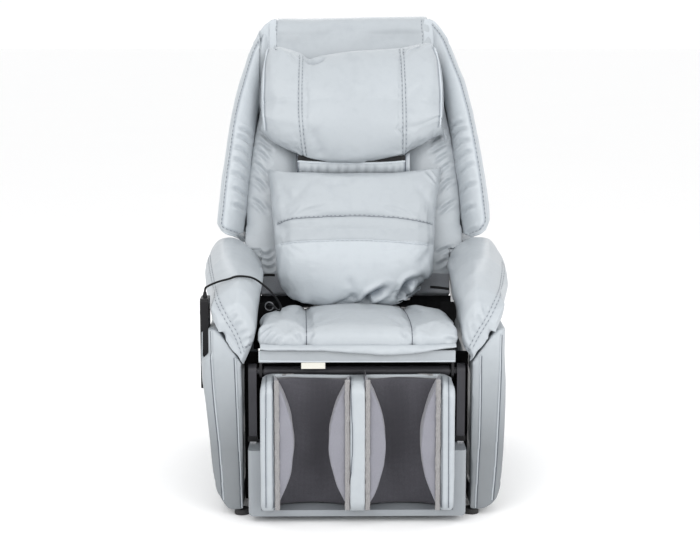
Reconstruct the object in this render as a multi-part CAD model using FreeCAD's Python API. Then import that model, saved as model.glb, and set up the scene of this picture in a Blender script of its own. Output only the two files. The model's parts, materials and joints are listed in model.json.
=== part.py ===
import FreeCAD, Part
import math
import os

# Massage chair. Millimetres, +Z up, +X to the viewer's right, the sitter faces -Y.
# The origin is under the middle of the chair, on the floor.

os.makedirs("parts", exist_ok=True)
V = FreeCAD.Vector

# Clearances
slide_gap = 0.3
pad_gap = 0.6
run_gap = 0.05

# Recline hinge and back
hinge_y = 150.0
hinge_z = 395.0
lean_deg = 20.0
recline_deg = 45.0
back_length = 803.0
pad_front = 84.0
roller_clear = 2.9
pad_half = 150.0
bolster_front = 96.0
bolster_crown = 6.0
bolster_low_w = 98.0
bolster_wide_w = 138.0
bolster_wide = 284.0
bolster_rear = 30.0
notch_gap = 4.0
wing_radius = 226.0
wing_drum_v = -9.0
lower_half = 236.0
arm_rear_radius = 220.0
cover_depth = 106.0
cover_top_depth = 74.0
cover_front = 50.0
cover_low = 62.0
cover_wall = 3.0
cover_post_r = 8.0
hinge_pin_r = 8.0

# Back frame
channel_out = 215.0
channel_wide = 25.0
channel_deep = 46.0
channel_wall = 2.5
channel_front = -6.0
channel_low = -24.0
channel_top = back_length - 167.0
cross_front = 38.0
cross_deep = 18.0
cross_high = 28.0
cross_low = 6.0

# Seat
seat_half = 225.0
seat_front = -436.0
seat_rear = 80.0
deck_top = 399.0
bolster_low_out = seat_half + 14.0
deck_thick = 14.0
cushion_rear_top = 414.0
cushion_crown = 453.0
cushion_seam = 104.0
apron_thick = 6.0
apron_low = 371.0
tube = 28.0
tube_wall = 2.0
liner_y = -325.0
liner_thick = 1.5
liner_top = 356.0
rod_slot = 36.0
seat_tube_out = 220.0

# Floor frame
rail_out = 252.0
rail_wide = 28.0
rail_high = 40.0
rail_low = 14.0
rail_front = -310.0
rail_rear = 330.0
plate_thick = 6.0
plate_in = 228.0
plate_half = 30.0
shelf_thick = 4.0

# Arms
seat_to_arm = 41.0
arm_in = seat_half + seat_to_arm
arm_front = -432.0
arm_wide = 81.0
arm_body_out = arm_in + arm_wide
arm_taper = 4.0
arm_front_out = arm_body_out - arm_taper
arm_low = 12.0
arm_skin = 44.0
pad_low_out = 457.0
pad_tip_z = 364.0
pad_tip_x = arm_in - 8.0
arm_base_rear = 330.0
glide_r = 18.0
glide_y = -395.0

# Legs
leg_y = -385.0
leg_z = 340.0
leg_lift_deg = 80.0
leg_extend = 90.0
slide_hold = 38.0
bar_in = 233.0
bar_wide = 19.0
bar_deep = 36.0
bar_wall = 2.0
bar_top = 18.0
bar_low = 188.0
torque_r = 12.0
stub_r = 8.0
calf_half = 221.0
calf_front = -505.0
calf_back = -402.0
calf_top = 354.0
calf_low = 31.0
calf_wall = 32.0
divider_half = 17.0
tray_thick = 8.0
lining_thick = 14.0
foot_half = 251.0
foot_front = -470.0
foot_rear = -368.0
foot_low = 16.0
foot_top = 172.0
foot_wall = 4.0

# Actuators: each rod pulls a pin through a slotted head
recline_x = -60.0
recline_r = 70.0
recline_pin_deg = -65.0
leg_x = 70.0
leg_lever_r = 50.0
leg_pin_deg = -50.0
lever_pin_r = 5.0
slot_wide = 14.0
rod_r = 9.0
body_r = 21.0

# Massage carriage
carriage_w = 160.0
screw_ends = 423.0
carriage_travel = back_length - screw_ends
carriage_half = 62.0
shoe_half = 40.0
gearbox_half = 24.0
chassis_front = 26.0
chassis_thick = 6.0
screw_r = 7.0
screw_v = 42.0
roller_r = 25.0
roller_wide = 26.0
roller_v = -8.0
roller_span = 58.0
arm_x = 58.0
arm_thick = 8.0
axle_r = 5.0
rock_deg = 6.0

# Remote control
remote_wide = 60.0
remote_thick = 19.0
remote_y = -364.0
remote_low = 300.0
remote_high = 512.0
pocket_low = 200.0
pocket_mouth = 382.0
key_r = 8.0
key_deep = 5.0
key_travel = 1.0
key_proud = 1.2
cord_d = 5.0

# Electrics
rocker_pin_r = 1.5

# Wheels
wheel_r = 30.0
wheel_wide = 20.0
wheel_y = 366.0
wheel_z = 33.0
wheel_axle_r = 5.0


# Small helpers

def box(x0, x1, y0, y1, z0, z1):
    return Part.makeBox(x1 - x0, y1 - y0, z1 - z0, V(x0, y0, z0))


def rod(axis, centre, radius, length):
    """A cylinder centred on a point, along x, y or z."""
    d = {"x": V(1, 0, 0), "y": V(0, 1, 0), "z": V(0, 0, 1)}[axis]
    c = V(*centre)
    return Part.makeCylinder(radius, length, c - d * (length / 2.0), d)


def at(plane, level, p):
    """A point of a flat outline put into space."""
    if plane == "yz":
        return V(level, p[0], p[1])
    if plane == "xz":
        return V(p[0], level, p[1])
    return V(p[0], p[1], level)


def outline(plane, level, start, steps):
    """A closed wire: each step is a line to (p,) or an arc through a point to the next (mid, p)."""
    edges = []
    here = at(plane, level, start)
    for step in steps:
        there = at(plane, level, step[-1])
        if len(step) == 1:
            edges.append(Part.LineSegment(here, there).toShape())
        else:
            edges.append(Part.Arc(here, at(plane, level, step[0]), there).toShape())
        here = there
    return Part.Wire(edges)


def slab(plane, low, high, start, steps):
    """An outline extruded from one level to another."""
    wire = outline(plane, low, start, steps)
    along = at(plane, high - low, (0, 0))
    return Part.Face(wire).extrude(along)


def leaving(p, along, q):
    """The middle point of the arc that leaves p in a given direction and ends at q."""
    start = math.atan2(along[1], along[0])
    chord = math.atan2(q[1] - p[1], q[0] - p[0])
    half = ((chord - start + math.pi) % (2 * math.pi) - math.pi) / 2
    reach = math.hypot(q[0] - p[0], q[1] - p[1]) / 2 / math.cos(half)
    return p[0] + reach * math.cos(start + half), p[1] + reach * math.sin(start + half)


def mirrored(shape):
    return shape.mirror(V(0, 0, 0), V(1, 0, 0))


def pair(shape):
    """A right-hand piece and its left-hand twin."""
    return [mirrored(shape), shape]


def joined(shapes):
    whole = shapes[0]
    for s in shapes[1:]:
        whole = whole.fuse(s)
    return whole.removeSplitter()


def group(shapes):
    return Part.makeCompound(shapes)


def square_tube(axis, low, high, a0, a1, b0, b1, wall):
    """A hollow rectangular tube along one axis; a and b are its two cross directions in x, y, z order."""
    def body(e, t):
        spans = [(a0 + t, a1 - t), (b0 + t, b1 - t)]
        spans.insert("xyz".index(axis), (low - e, high + e))
        return box(*spans[0], *spans[1], *spans[2])
    return body(0, 0).cut(body(1, wall))


def on_back(v, w, deg):
    """The step from the recline hinge to a place in the back's frame, leaned by deg."""
    lean = math.radians(deg)
    return V(0, v * math.cos(lean) + w * math.sin(lean), w * math.cos(lean) - v * math.sin(lean))


def leaned(shape):
    """From the back's own upright frame (x, depth, height above the hinge) to the chair at rest."""
    s = shape.copy()
    s.rotate(V(0, 0, 0), V(1, 0, 0), -lean_deg)
    s.translate(V(0, hinge_y, hinge_z))
    return s


def loft(wires, ruled=False):
    return Part.makeLoft(wires, True, ruled)


def rounded(shape, radius, pick):
    """Fillet the edges whose middle passes the test."""
    return shape.makeFillet(radius, [e for e in shape.Edges if pick(e.CenterOfMass)])


nodes = {}


def keep(name, shape):
    nodes[name] = shape


# Floor frame

def base_rail():
    """A floor rail with its two seat posts, hinge plate and foot plate."""
    x0 = rail_out - rail_wide
    top = rail_low + rail_high
    rail = square_tube("y", rail_front, rail_rear, x0, rail_out, rail_low, top, tube_wall)
    post_top = deck_top - deck_thick - tube - shelf_thick
    post_y = rail_front + 10
    post = square_tube("z", top, post_top, x0, rail_out, post_y, post_y + rail_wide, tube_wall)
    plate = slab("yz", plate_in, plate_in + plate_thick, (hinge_y - 70, top), [
        ((hinge_y + 70, top),),
        ((hinge_y + plate_half, hinge_z),),
        ((hinge_y, hinge_z + plate_half), (hinge_y - plate_half, hinge_z)),
        ((hinge_y - 70, top),)])
    bore = rod("x", (plate_in + 3, hinge_y, hinge_z), hinge_pin_r, 20)
    lightening = rod("x", (plate_in + 3, hinge_y, 150), 34, 20)
    plate = plate.cut(bore).cut(lightening)
    shelf = box(seat_tube_out - tube, rail_out, post_y, post_y + rail_wide, post_top, post_top + shelf_thick)
    foot = rod("z", (rail_out - rail_wide / 2, rail_rear - 40, rail_low / 2), 16, rail_low)
    foot2 = rod("z", (rail_out - rail_wide / 2, rail_front + 24, rail_low / 2), 16, rail_low)
    return joined([rail, post, shelf, plate, foot, foot2])


def make_floor_frame():
    rail = base_rail()
    keep("base_rails", group(pair(rail)))
    inner = rail_out - rail_wide
    low = rail_low + 6
    keep("base_cross_tubes", group([
        square_tube("x", -inner, inner, y, y + tube, low, low + tube, tube_wall)
        for y in (rail_front + 60, 40.0, rail_rear - 60)]))


# Seat

def make_seat_frame():
    top = deck_top - deck_thick
    low = top - tube
    x0 = seat_tube_out - tube
    y_front = leg_y + 4
    y_rear = seat_rear - 26
    side = square_tube("y", y_front, y_rear, x0, seat_tube_out, low, top, tube_wall)
    bracket = slab("yz", seat_tube_out, seat_tube_out + plate_thick, (leg_y - 16, top), [
        ((leg_y - 16, leg_z),),
        ((leg_y, leg_z - 16), (leg_y + 16, leg_z)),
        ((leg_y + 60, low),),
        ((leg_y + 60, top),),
        ((leg_y - 16, top),)])
    bracket = bracket.cut(rod("x", (seat_tube_out + 3, leg_y, leg_z), stub_r + run_gap, 20))
    strap = box(seat_tube_out, plate_in, 20, hinge_y - hinge_pin_r - 6, low, top)
    side = side.fuse(bracket).fuse(strap)
    sides = pair(side)
    front = square_tube("x", -x0, x0, y_front + 8, y_front + 8 + tube, low, top, tube_wall)
    rear = square_tube("x", -x0, x0, 0, tube, low, top, tube_wall)
    keep("seat_frame", joined([sides[0], front, rear, sides[1]]))


def seat_section(x, rise, inset):
    """The seat cushion's side section at one place across the seat."""
    low = deck_top + 0.2
    crown = low + (cushion_crown - low) * rise
    rear = low + (cushion_rear_top - low) * rise
    front = seat_front - 4 + inset
    mid_y = (front + seat_rear) / 2
    return outline("yz", x, (front + 8, low), [
        ((front - 2, low + (crown - low) * 0.42), (front + 38, crown)),
        ((mid_y, (crown + rear) / 2 + 5 * rise), (seat_rear - 10 - inset / 2, rear)),
        ((seat_rear - inset / 2 - 2, (rear + low) / 2), (seat_rear - 8 - inset / 2, low)),
        ((front + 8, low),)])


def make_seat():
    """The deck, its cushion and apron, and the cloth that closes the base behind the leg rest."""
    keep("seat_deck", box(-seat_half + 2, seat_half - 2, seat_front + apron_thick, seat_rear - 26,
                          deck_top - deck_thick, deck_top))
    seam_in = cushion_seam - 9
    seam_out = cushion_seam + 9
    places = [(seat_half, 0.5, 12), (seat_half - 8, 0.83, 5), (seat_half - 40, 0.98, 1), (seam_out, 0.97, 0),
              (cushion_seam, 0.8, 5), (seam_in, 0.97, 0), (40, 1.0, 0)]
    left = [seat_section(-p[0], p[1], p[2]) for p in places]
    right = [seat_section(p[0], p[1], p[2]) for p in reversed(places)]
    plan = slab("xy", 300, 500, (-seat_half, seat_front - 20), [
        ((seat_half, seat_front - 20),),
        ((seat_half, -190),),
        ((seat_half - 7, -130), (seat_half - 25, -84)),
        ((seat_half - 46, seat_rear + 5),),
        ((-seat_half + 46, seat_rear + 5),),
        ((-seat_half + 25, -84),),
        ((-seat_half + 7, -130), (-seat_half, -190)),
        ((-seat_half, seat_front - 20),)])
    keep("seat_cushion", loft(left + right, True).common(plan))
    slot = box(leg_x - rod_slot / 2, leg_x + rod_slot / 2, liner_y - 5, liner_y + 5, leg_z - 80, leg_z + 20)
    side = box(seat_tube_out - tube - 5, seat_tube_out + 12, liner_y - 5, liner_y + 5, leg_z - 20, leg_z + 60)
    liner = box(-arm_in, arm_in, liner_y, liner_y + liner_thick, arm_low, liner_top)
    hollow = box(4 - seat_tube_out, seat_tube_out - 4, liner_y - 5, liner_y + 5, leg_z + 10, leg_z + 60)
    keep("base_liner", liner.cut(group([slot, hollow] + pair(side))))
    keep("seat_apron", box(-seat_half - 1, seat_half + 1, seat_front, seat_front + apron_thick,
                           apron_low, deck_top))


# Arms

def arm_body():
    """A side panel: tapered outwards, concave in front, its rear edge concentric with the recline hinge."""
    side = slab("yz", 0, 400, (arm_front + 17, arm_low), [
        ((arm_base_rear - 60, arm_low),),
        ((arm_base_rear - 18, arm_low + 17), (arm_base_rear, arm_low + 60)),
        ((arm_base_rear + 26, 200), (hinge_y + arm_rear_radius - 6, hinge_z - 40)),
        ((hinge_y + arm_rear_radius - 2, hinge_z - 10), (hinge_y + arm_rear_radius - 7, hinge_z + 16)),
        ((hinge_y + arm_rear_radius - 18, hinge_z + 41), (hinge_y + arm_rear_radius - 44, hinge_z + 51)),
        ((arm_front + 6, hinge_z + 51),),
        ((arm_front, hinge_z + 20), (arm_front + 3, hinge_z - 40)),
        ((arm_front + 15, 220), (arm_front + 17, arm_low))])
    front = slab("xz", arm_front - 5, hinge_y + arm_rear_radius + 5, (arm_in, arm_low), [
        ((arm_in, pad_tip_z + 6),),
        ((arm_in + 32, pad_tip_z + 52), (arm_body_out - 24, pad_low_out - 9)),
        ((arm_body_out, pad_low_out - 3),),
        ((arm_body_out, 300),),
        ((arm_body_out - 5, 185), (arm_body_out - 14, 80)),
        ((arm_body_out - 24, 30), (arm_body_out - 52, arm_low)),
        ((arm_in, arm_low),)])
    plan = slab("xy", 0, 600, (arm_in - 5, arm_front - 5), [
        ((arm_front_out - 24, arm_front - 5),),
        ((arm_front_out - 5, arm_front + 10), (arm_front_out, arm_front + 34)),
        ((arm_front_out, remote_y + remote_wide / 2 + 6),),
        ((arm_front_out + 3, -190), (arm_body_out, -60)),
        ((arm_body_out + 0.5, 100), (arm_body_out, 260)),
        ((arm_body_out - 12, 350), (arm_body_out - 40, 395)),
        ((arm_in - 5, 395),),
        ((arm_in - 5, arm_front - 5),)])
    return side.common(front).common(plan)


def hollow_arm(solid):
    """The panel's inner side is open behind its front and outer walls."""
    pocket = slab("yz", arm_in - 5, arm_body_out - arm_skin, (arm_front + 60, 60), [
        ((arm_base_rear - 30, 74),),
        ((arm_base_rear - 4, 210), (hinge_y + arm_rear_radius - 45, hinge_z - 40)),
        ((arm_front + 60, hinge_z - 60),),
        ((arm_front + 60, 60),)])
    return solid.cut(pocket)


def pad_section(y, tip_z, x_in, top_z, x_out, shrink):
    """The arm pad's cross section at one place along the arm."""
    x_low = min(x_out, arm_body_out) - 2
    x_mid = (x_in + x_out) / 2 - 8
    low_out = min(pad_low_out, top_z - 40)
    shoulder = top_z - 0.34 * (top_z - low_out)
    return outline("xz", y, (pad_tip_x + shrink, tip_z + shrink), [
        ((x_in + 5 + shrink, tip_z + 0.33 * (top_z - tip_z)),
         (x_in + shrink * 0.5, tip_z + 0.58 * (top_z - tip_z))),
        ((x_in + 20, top_z - 18), (x_mid, top_z)),
        ((x_out - 19, top_z - 17), (x_out, shoulder)),
        ((x_out - 1, low_out + 0.4 * (shoulder - low_out)), (x_low, low_out)),
        ((x_low - 20, low_out - 8), (pad_tip_x + 46, tip_z + 0.72 * (low_out - tip_z))),
        ((pad_tip_x + 20, tip_z + 0.3 * (low_out - tip_z)), (pad_tip_x + shrink, tip_z + shrink))])


def arm_pad():
    """The pad through its sections: place along the arm, inner edge, top and outer edge."""
    tip, low, out = pad_tip_x, pad_low_out, arm_body_out
    rows = [(arm_front + 8, tip - 26, low + 55, out - 12), (arm_front + 40, tip - 29, low + 84, out - 8),
            (remote_y + remote_wide / 2 + 4, tip - 29, low + 106, out - arm_taper - 1),
            (-230, tip - 28, low + 123, out + 21), (-60, tip - 22, low + 138, out + 30),
            (60, tip - 16, low + 137, out + 29), (170, tip - 12, low + 122, out + 25),
            (270, tip - 8, low + 84, out + 14), (328, tip - 2, low + 33, out - 2)]
    sections = [pad_section(arm_front - 6, pad_tip_z + 4, tip - 18, low + 27, out - 28, 6)]
    sections = sections + [pad_section(y, pad_tip_z, x_in, top, x_out, 0) for y, x_in, top, x_out in rows]
    return loft(sections, True)


def arm_notch():
    """The space that a bolster sweeps in the arm pad as the back reclines."""
    x0 = bolster_low_out - 20
    x1 = bolster_wide + notch_gap
    rise = (bolster_wide_w - bolster_low_w) / (bolster_wide - bolster_low_out)
    near = bolster_low_w - rise * 20 - notch_gap / 2
    middle = V(0, hinge_y, hinge_z)
    front = middle + on_back(-bolster_front - notch_gap, 0, lean_deg)
    rear = middle + on_back(-bolster_rear + notch_gap, 0, lean_deg + recline_deg)
    up = on_back(0, 320, lean_deg)
    back = on_back(0, 320, lean_deg + recline_deg)
    corners = [front, front + up, rear + back, rear]
    space = slab("yz", x0, x1, (front.y, front.z), [((p.y, p.z),) for p in corners[1:] + corners[:1]])
    core = Part.makeCone(near, near + rise * (x1 - x0), x1 - x0, V(x0, hinge_y, hinge_z), V(1, 0, 0))
    return space.cut(core)


def make_arms():
    body = arm_body()
    pad = arm_pad()
    body = hollow_arm(body.cut(pad))
    pad = pad.cut(arm_notch())
    keep("right_arm_body", body)
    keep("left_arm_body", mirrored(body))
    keep("right_arm_pad", pad)
    keep("left_arm_pad", mirrored(pad))
    glide = rod("z", (arm_in + 4, glide_y, arm_low / 2), glide_r, arm_low)
    rear = rod("z", (arm_in + 12, arm_base_rear - 90, arm_low / 2), glide_r, arm_low)
    keep("floor_glides", group(pair(glide) + pair(rear)))
    bolts = []
    for y in (rail_front + 60, 20.0, rail_rear - 60):
        spacer = rod("x", ((rail_out + arm_in) / 2, y, rail_low + rail_high - 8), 7, arm_in - rail_out)
        bolts = bolts + pair(spacer)
    keep("arm_bolts", group(bolts))


# Back, in its own upright frame

wing_rows = [
    (170, 288, 348, 165), (240, 286, 353, 165), (330, 280, 346, 165), (460, 262, 326, 160),
    (600, 238, 299, 132), (back_length - 103, 222, 273, 104), (back_length - 53, 215, 249, 88),
    (back_length - 21, 211, 233, 78), (back_length - 3, 206, 219, 62)]


def wing_section(w, seam, out, front):
    """A wing's section across the back: seam edge, rolled front edge, outer side, flat rear."""
    wrap = 12
    nose = (out - seam) * 0.62
    return outline("xy", w, (seam, -front * 0.6), [
        ((seam + nose * 0.4, -front * 0.88), (seam + nose, -front)),
        ((out - 3, -front + 6), (out, -front + 20)),
        ((out + 1, -front * 0.3), (out - wrap, cover_front)),
        ((seam, cover_front),),
        ((seam, -front * 0.6),)])


def hinge_drum(x0, x1):
    """The round space that the arms sweep, in the back's own frame; a little deeper in front."""
    return rod("x", ((x0 + x1) / 2, wing_drum_v, 0), wing_radius, x1 - x0)


def make_wings():
    solid = loft([wing_section(*r) for r in wing_rows], True)
    solid = solid.cut(hinge_drum(150, 450))
    keep("right_wing", leaned(solid))
    keep("left_wing", leaned(mirrored(solid)))


def bolster_section(w, inner, outer, front):
    middle = (inner + outer) / 2
    return outline("xy", w, (inner, -pad_front + 1), [
        ((middle, -front - bolster_crown), (outer, -front + 4)),
        ((outer, -bolster_rear),),
        ((inner, -bolster_rear),),
        ((inner, -pad_front + 1),)])


def bolster_crest(inner, outer, front):
    """How far forward the bolster's front arc reaches."""
    a, b, c = (inner, pad_front - 1), ((inner + outer) / 2, front + bolster_crown), (outer, front - 4)
    circle = Part.Arc(V(*a), V(*b), V(*c)).toShape().Curve
    return circle.Center.y + circle.Radius


def make_bolsters():
    """Inner side bolsters; below the arm tops they stay between the arms."""
    g = pad_gap
    inner = pad_half + g
    rows = [(20, inner, bolster_low_out - 7, pad_front + 4), (bolster_low_w, inner, bolster_low_out, pad_front + 8)]
    rows.append((bolster_wide_w, inner, bolster_wide, bolster_front - 2))
    rows.append((wing_radius + 1, inner, bolster_wide, bolster_front))
    for w, seam, out, front in wing_rows[1:5]:
        rows.append((max(w, wing_radius + 7), inner, seam - g, min(front * 0.6, bolster_front)))
    solid = loft([bolster_section(*r) for r in rows], True)
    keep("right_bolster", leaned(solid))
    keep("left_bolster", leaned(mirrored(solid)))
    return max(bolster_crest(*r[1:]) for r in rows)


def make_back_pad():
    """The thin pad that the rollers press from behind."""
    rear = roller_v - roller_r - roller_span * math.sin(math.radians(rock_deg)) - roller_clear
    keep("back_pad", leaned(box(-pad_half, pad_half, -pad_front, rear, 10, channel_top)))


def make_head_flap():
    """The padded top of the back between the wings, with a rounded upper edge."""
    g = pad_gap
    low = channel_top + g
    front = slab("xz", -80, cover_front, (-222 + g, low), [
        ((222 - g, low),),
        ((212 - g, back_length - 33),),
        ((206 - g, back_length - 6),),
        ((0, back_length + 6), (-206 + g, back_length - 6)),
        ((-212 + g, back_length - 33),),
        ((-222 + g, low),)])
    side = slab("yz", -230, 230, (-66, low), [
        ((cover_front - g, low),),
        ((cover_front - g, back_length - 24),),
        ((20, back_length + 2), (-16, back_length)),
        ((-62, back_length - 12), (-76, back_length - 60)),
        ((-78, back_length - 93), (-66, low))])
    keep("head_flap", leaned(front.common(side)))


def pillow_section(x, centre, high, deep, rear):
    """A cushion's side section: flat towards the back, round at the front."""
    half = high / 2
    flat = half * 0.62
    heel = (rear - deep * 0.42, centre - half)
    below = leaving((rear, centre - flat), (0, -1), heel)
    return outline("yz", x, (rear, centre - flat), [
        (below, heel),
        ((rear - deep * 0.9, centre - half * 0.66), (rear - deep, centre)),
        ((rear - deep * 0.9, centre + half * 0.66), (heel[0], centre + half)),
        ((below[0], 2 * centre - below[1]), (rear, centre + flat)),
        ((rear, centre - flat),)])


def cushion_loft(places, centre, high, deep, rear):
    """A cushion through its sections: place, height, depth, draw from the back and rise of the middle."""
    rows = [(x, centre + rise, high * h, deep * d, rear - draw) for x, h, d, draw, rise in places]
    left = [pillow_section(-row[0], *row[1:]) for row in rows]
    right = [pillow_section(*row) for row in reversed(rows)]
    return loft(left + right, True)


def make_cushions(crest):
    """The head pillow and the lumbar cushion, both resting on the bolsters' crests."""
    rear = -crest - pad_gap
    head = cushion_loft([(251, 0.7, 0.42, 16, 0), (243, 0.8, 0.66, 8, 0), (219, 0.89, 0.82, 0, 0),
                         (134, 0.98, 0.96, 0, 0), (128, 0.96, 0.9, 0, 0), (122, 0.98, 0.97, 0, 0),
                         (50, 1.0, 1.0, 0, 0)], back_length - 284, 304, 92, rear)
    keep("head_pillow", leaned(head))
    lumbar = cushion_loft([(227, 0.52, 0.24, 0, 76), (215, 0.76, 0.54, 0, 36), (202, 0.9, 0.72, 0, 12),
                           (176, 0.97, 0.86, 0, 3), (110, 1.0, 0.98, 0, 0), (40, 1.0, 1.0, 0, 0)],
                          166, 364, 96, rear)
    keep("lumbar_cushion", leaned(lumbar))


def cover_solid(inset):
    """The rear cover's outer form, or its inside when inset by the wall."""
    rows = [(w, out - 14 - inset) for w, seam, out, front in wing_rows[1:]]
    points = [(cover_low + inset,)]
    steps = [((x, w),) for w, x in rows]
    last = rows[-1][1]
    steps = steps + [((0, back_length - 2 - inset), (-last, back_length - 3 - inset))]
    steps = steps + [((-x, w),) for w, x in reversed(rows[:-1])]
    start = (-rows[0][1], cover_low + inset)
    steps = [((rows[0][1], cover_low + inset),)] + steps + [(start,)]
    face = slab("xz", cover_front - (1 if inset else 0), cover_depth + 10, start, steps)
    side = slab("yz", -400, 400, (cover_front - 5, cover_low - 5), [
        ((cover_depth - 36 - inset, cover_low - 5),),
        ((cover_depth - inset, 250), (cover_depth - 8 - inset, 480)),
        ((cover_depth - 18 - inset, 640), (cover_top_depth - inset, back_length + 10)),
        ((cover_front - 5, back_length + 10),),
        ((cover_front - 5, cover_low - 5),)])
    plan = slab("xy", 0, 900, (-360, cover_front - 5), [
        ((360, cover_front - 5),),
        ((360, cover_front + 6 - inset),),
        ((0, cover_depth + 9 - inset), (-360, cover_front + 6 - inset)),
        ((-360, cover_front - 5),)])
    return face.common(side).common(plan)


def make_back_cover():
    shell = cover_solid(0).cut(cover_solid(cover_wall))
    side = hinge_drum(lower_half, 450)
    shell = shell.cut(side).cut(mirrored(side))
    slots = []
    for k in range(6):
        w = 330 + 16 * k
        slots.append(box(-60, 60, cover_front, cover_depth + 10, w, w + 5))
    shell = shell.cut(group(slots))
    rear = channel_front + channel_deep
    posts = []
    for x in (channel_wide / 2 - channel_out, channel_out - channel_wide / 2):
        for w in (100, 560):
            posts.append(rod("y", (x, (rear + cover_front) / 2, w), cover_post_r, cover_front - rear))
            posts.append(rod("y", (x, cover_depth, w), cover_post_r, 2 * (cover_depth - cover_front)))
    posts[1::2] = [post.common(cover_solid(0)) for post in posts[1::2]]
    shell = joined([shell] + posts)
    keep("back_cover", leaned(shell))


def recline_pin_local():
    """The recline lever's pin in the back's own frame."""
    a = math.radians(recline_pin_deg)
    t = math.radians(lean_deg)
    dy = recline_r * math.cos(a)
    dz = recline_r * math.sin(a)
    return dy * math.cos(t) - dz * math.sin(t), dy * math.sin(t) + dz * math.cos(t)


def lever_plate(x, start, pin, wide, thick):
    """A flat lever from its root to a pin, in the yz plane."""
    dy = pin[0] - start[0]
    dz = pin[1] - start[1]
    span = math.hypot(dy, dz)
    ny = -dz / span * wide
    nz = dy / span * wide
    ey = dy / span * wide
    ez = dz / span * wide
    return slab("yz", x - thick / 2, x + thick / 2, (start[0] + ny, start[1] + nz), [
        ((start[0] - ny, start[1] - nz),),
        ((pin[0] - ny, pin[1] - nz),),
        ((pin[0] + ey, pin[1] + ez), (pin[0] + ny, pin[1] + nz)),
        ((start[0] + ny, start[1] + nz),)])


def make_back_frame():
    """Two channel rails open towards the middle, joined by two cross tubes, with hinge bosses and a lever."""
    x0 = channel_out - channel_wide
    rear = channel_front + channel_deep
    rail = box(x0, channel_out, channel_front, rear, channel_low, channel_top)
    rail = rail.cut(box(x0 - 1, channel_out - channel_wall, channel_front + channel_wall, rear - channel_wall,
                        channel_low - 1, channel_top + 1))
    boss = rod("x", (channel_out - 5, 0, 0), 22, 10)
    rail = rail.fuse(boss).cut(rod("x", (channel_out, 0, 0), hinge_pin_r + run_gap, 60))
    rails = pair(rail)
    rear_v = cross_front + cross_deep
    top_w = channel_top - cross_high
    low_tube, top_tube = [
        square_tube("x", -channel_out, channel_out, cross_front, rear_v, w, w + cross_high, tube_wall)
        for w in (cross_low, top_w)]
    pin = recline_pin_local()
    root = ((cross_front + rear_v) / 2, cross_low + 2)
    lever = []
    for side in (-1, 1):
        lever.append(lever_plate(recline_x + side * 12, root, pin, 11, 5))
    lever.append(rod("x", (recline_x, pin[0], pin[1]), lever_pin_r, 32))
    keep("back_frame", leaned(joined([rails[0], rails[1], low_tube, top_tube] + lever)))
    pin_in = channel_out - 13
    pin_out = plate_in + plate_thick + 2
    pins = rod("x", ((pin_in + pin_out) / 2, hinge_y, hinge_z), hinge_pin_r, pin_out - pin_in)
    head = rod("x", (plate_in + plate_thick + 2.5, hinge_y, hinge_z), hinge_pin_r + 5, 5)
    keep("hinge_pins", group(pair(pins.fuse(head).removeSplitter())))


def make_lift_screw():
    low = cross_low + cross_high
    high = channel_top - cross_high
    shaft = rod("z", (0, screw_v, (low + high) / 2), screw_r - 1, high - low)
    collars = [rod("z", (0, screw_v, w), screw_r + 3, 8) for w in (low + 4, high - 4)]
    thread_long = carriage_travel + 2 * gearbox_half + 20
    thread = rod("z", (0, screw_v, carriage_w + carriage_travel / 2), screw_r, thread_long)
    keep("lift_screw", leaned(joined([shaft, thread] + collars)))


# Massage carriage

def make_carriage():
    w0 = carriage_w
    inner = channel_out - channel_wall - slide_gap
    plate = box(-inner + 20, inner - 20, chassis_front, chassis_front + chassis_thick,
                w0 - carriage_half, w0 + carriage_half)
    for x in (-130, 130):
        for up in (-34, 34):
            plate = plate.cut(rod("y", (x, chassis_front, w0 + up), 12, 40))
    shoe = box(inner - 20, inner, channel_front + channel_wall + slide_gap,
               channel_front + channel_deep - channel_wall - slide_gap, w0 - shoe_half, w0 + shoe_half)
    gearbox = box(-22, 22, chassis_front + chassis_thick, screw_v + 15, w0 - gearbox_half, w0 + gearbox_half)
    bore = rod("z", (0, screw_v, w0), screw_r + slide_gap, 120)
    ears = []
    for x in (arm_x - 10, arm_x + 10):
        ears.append(slab("yz", x - 3, x + 3, (chassis_front, w0 - 16), [
            ((2, w0 - 10),),
            ((-9, w0), (2, w0 + 10)),
            ((chassis_front, w0 + 16),),
            ((chassis_front, w0 - 16),)]))
    ears.append(rod("x", (arm_x, 2, w0), axle_r, 26))
    ears = joined(ears)
    keep("carriage_chassis", leaned(joined([plate, gearbox] + pair(shoe) + pair(ears)).cut(bore)))
    foot = box(-112, -30, chassis_front + chassis_thick, chassis_front + chassis_thick + 10, w0 - 20, w0 + 20)
    motor = rod("x", (-72, chassis_front + chassis_thick + 30, w0), 27, 96)
    keep("massage_motor", leaned(motor.fuse(foot).removeSplitter()))


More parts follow.
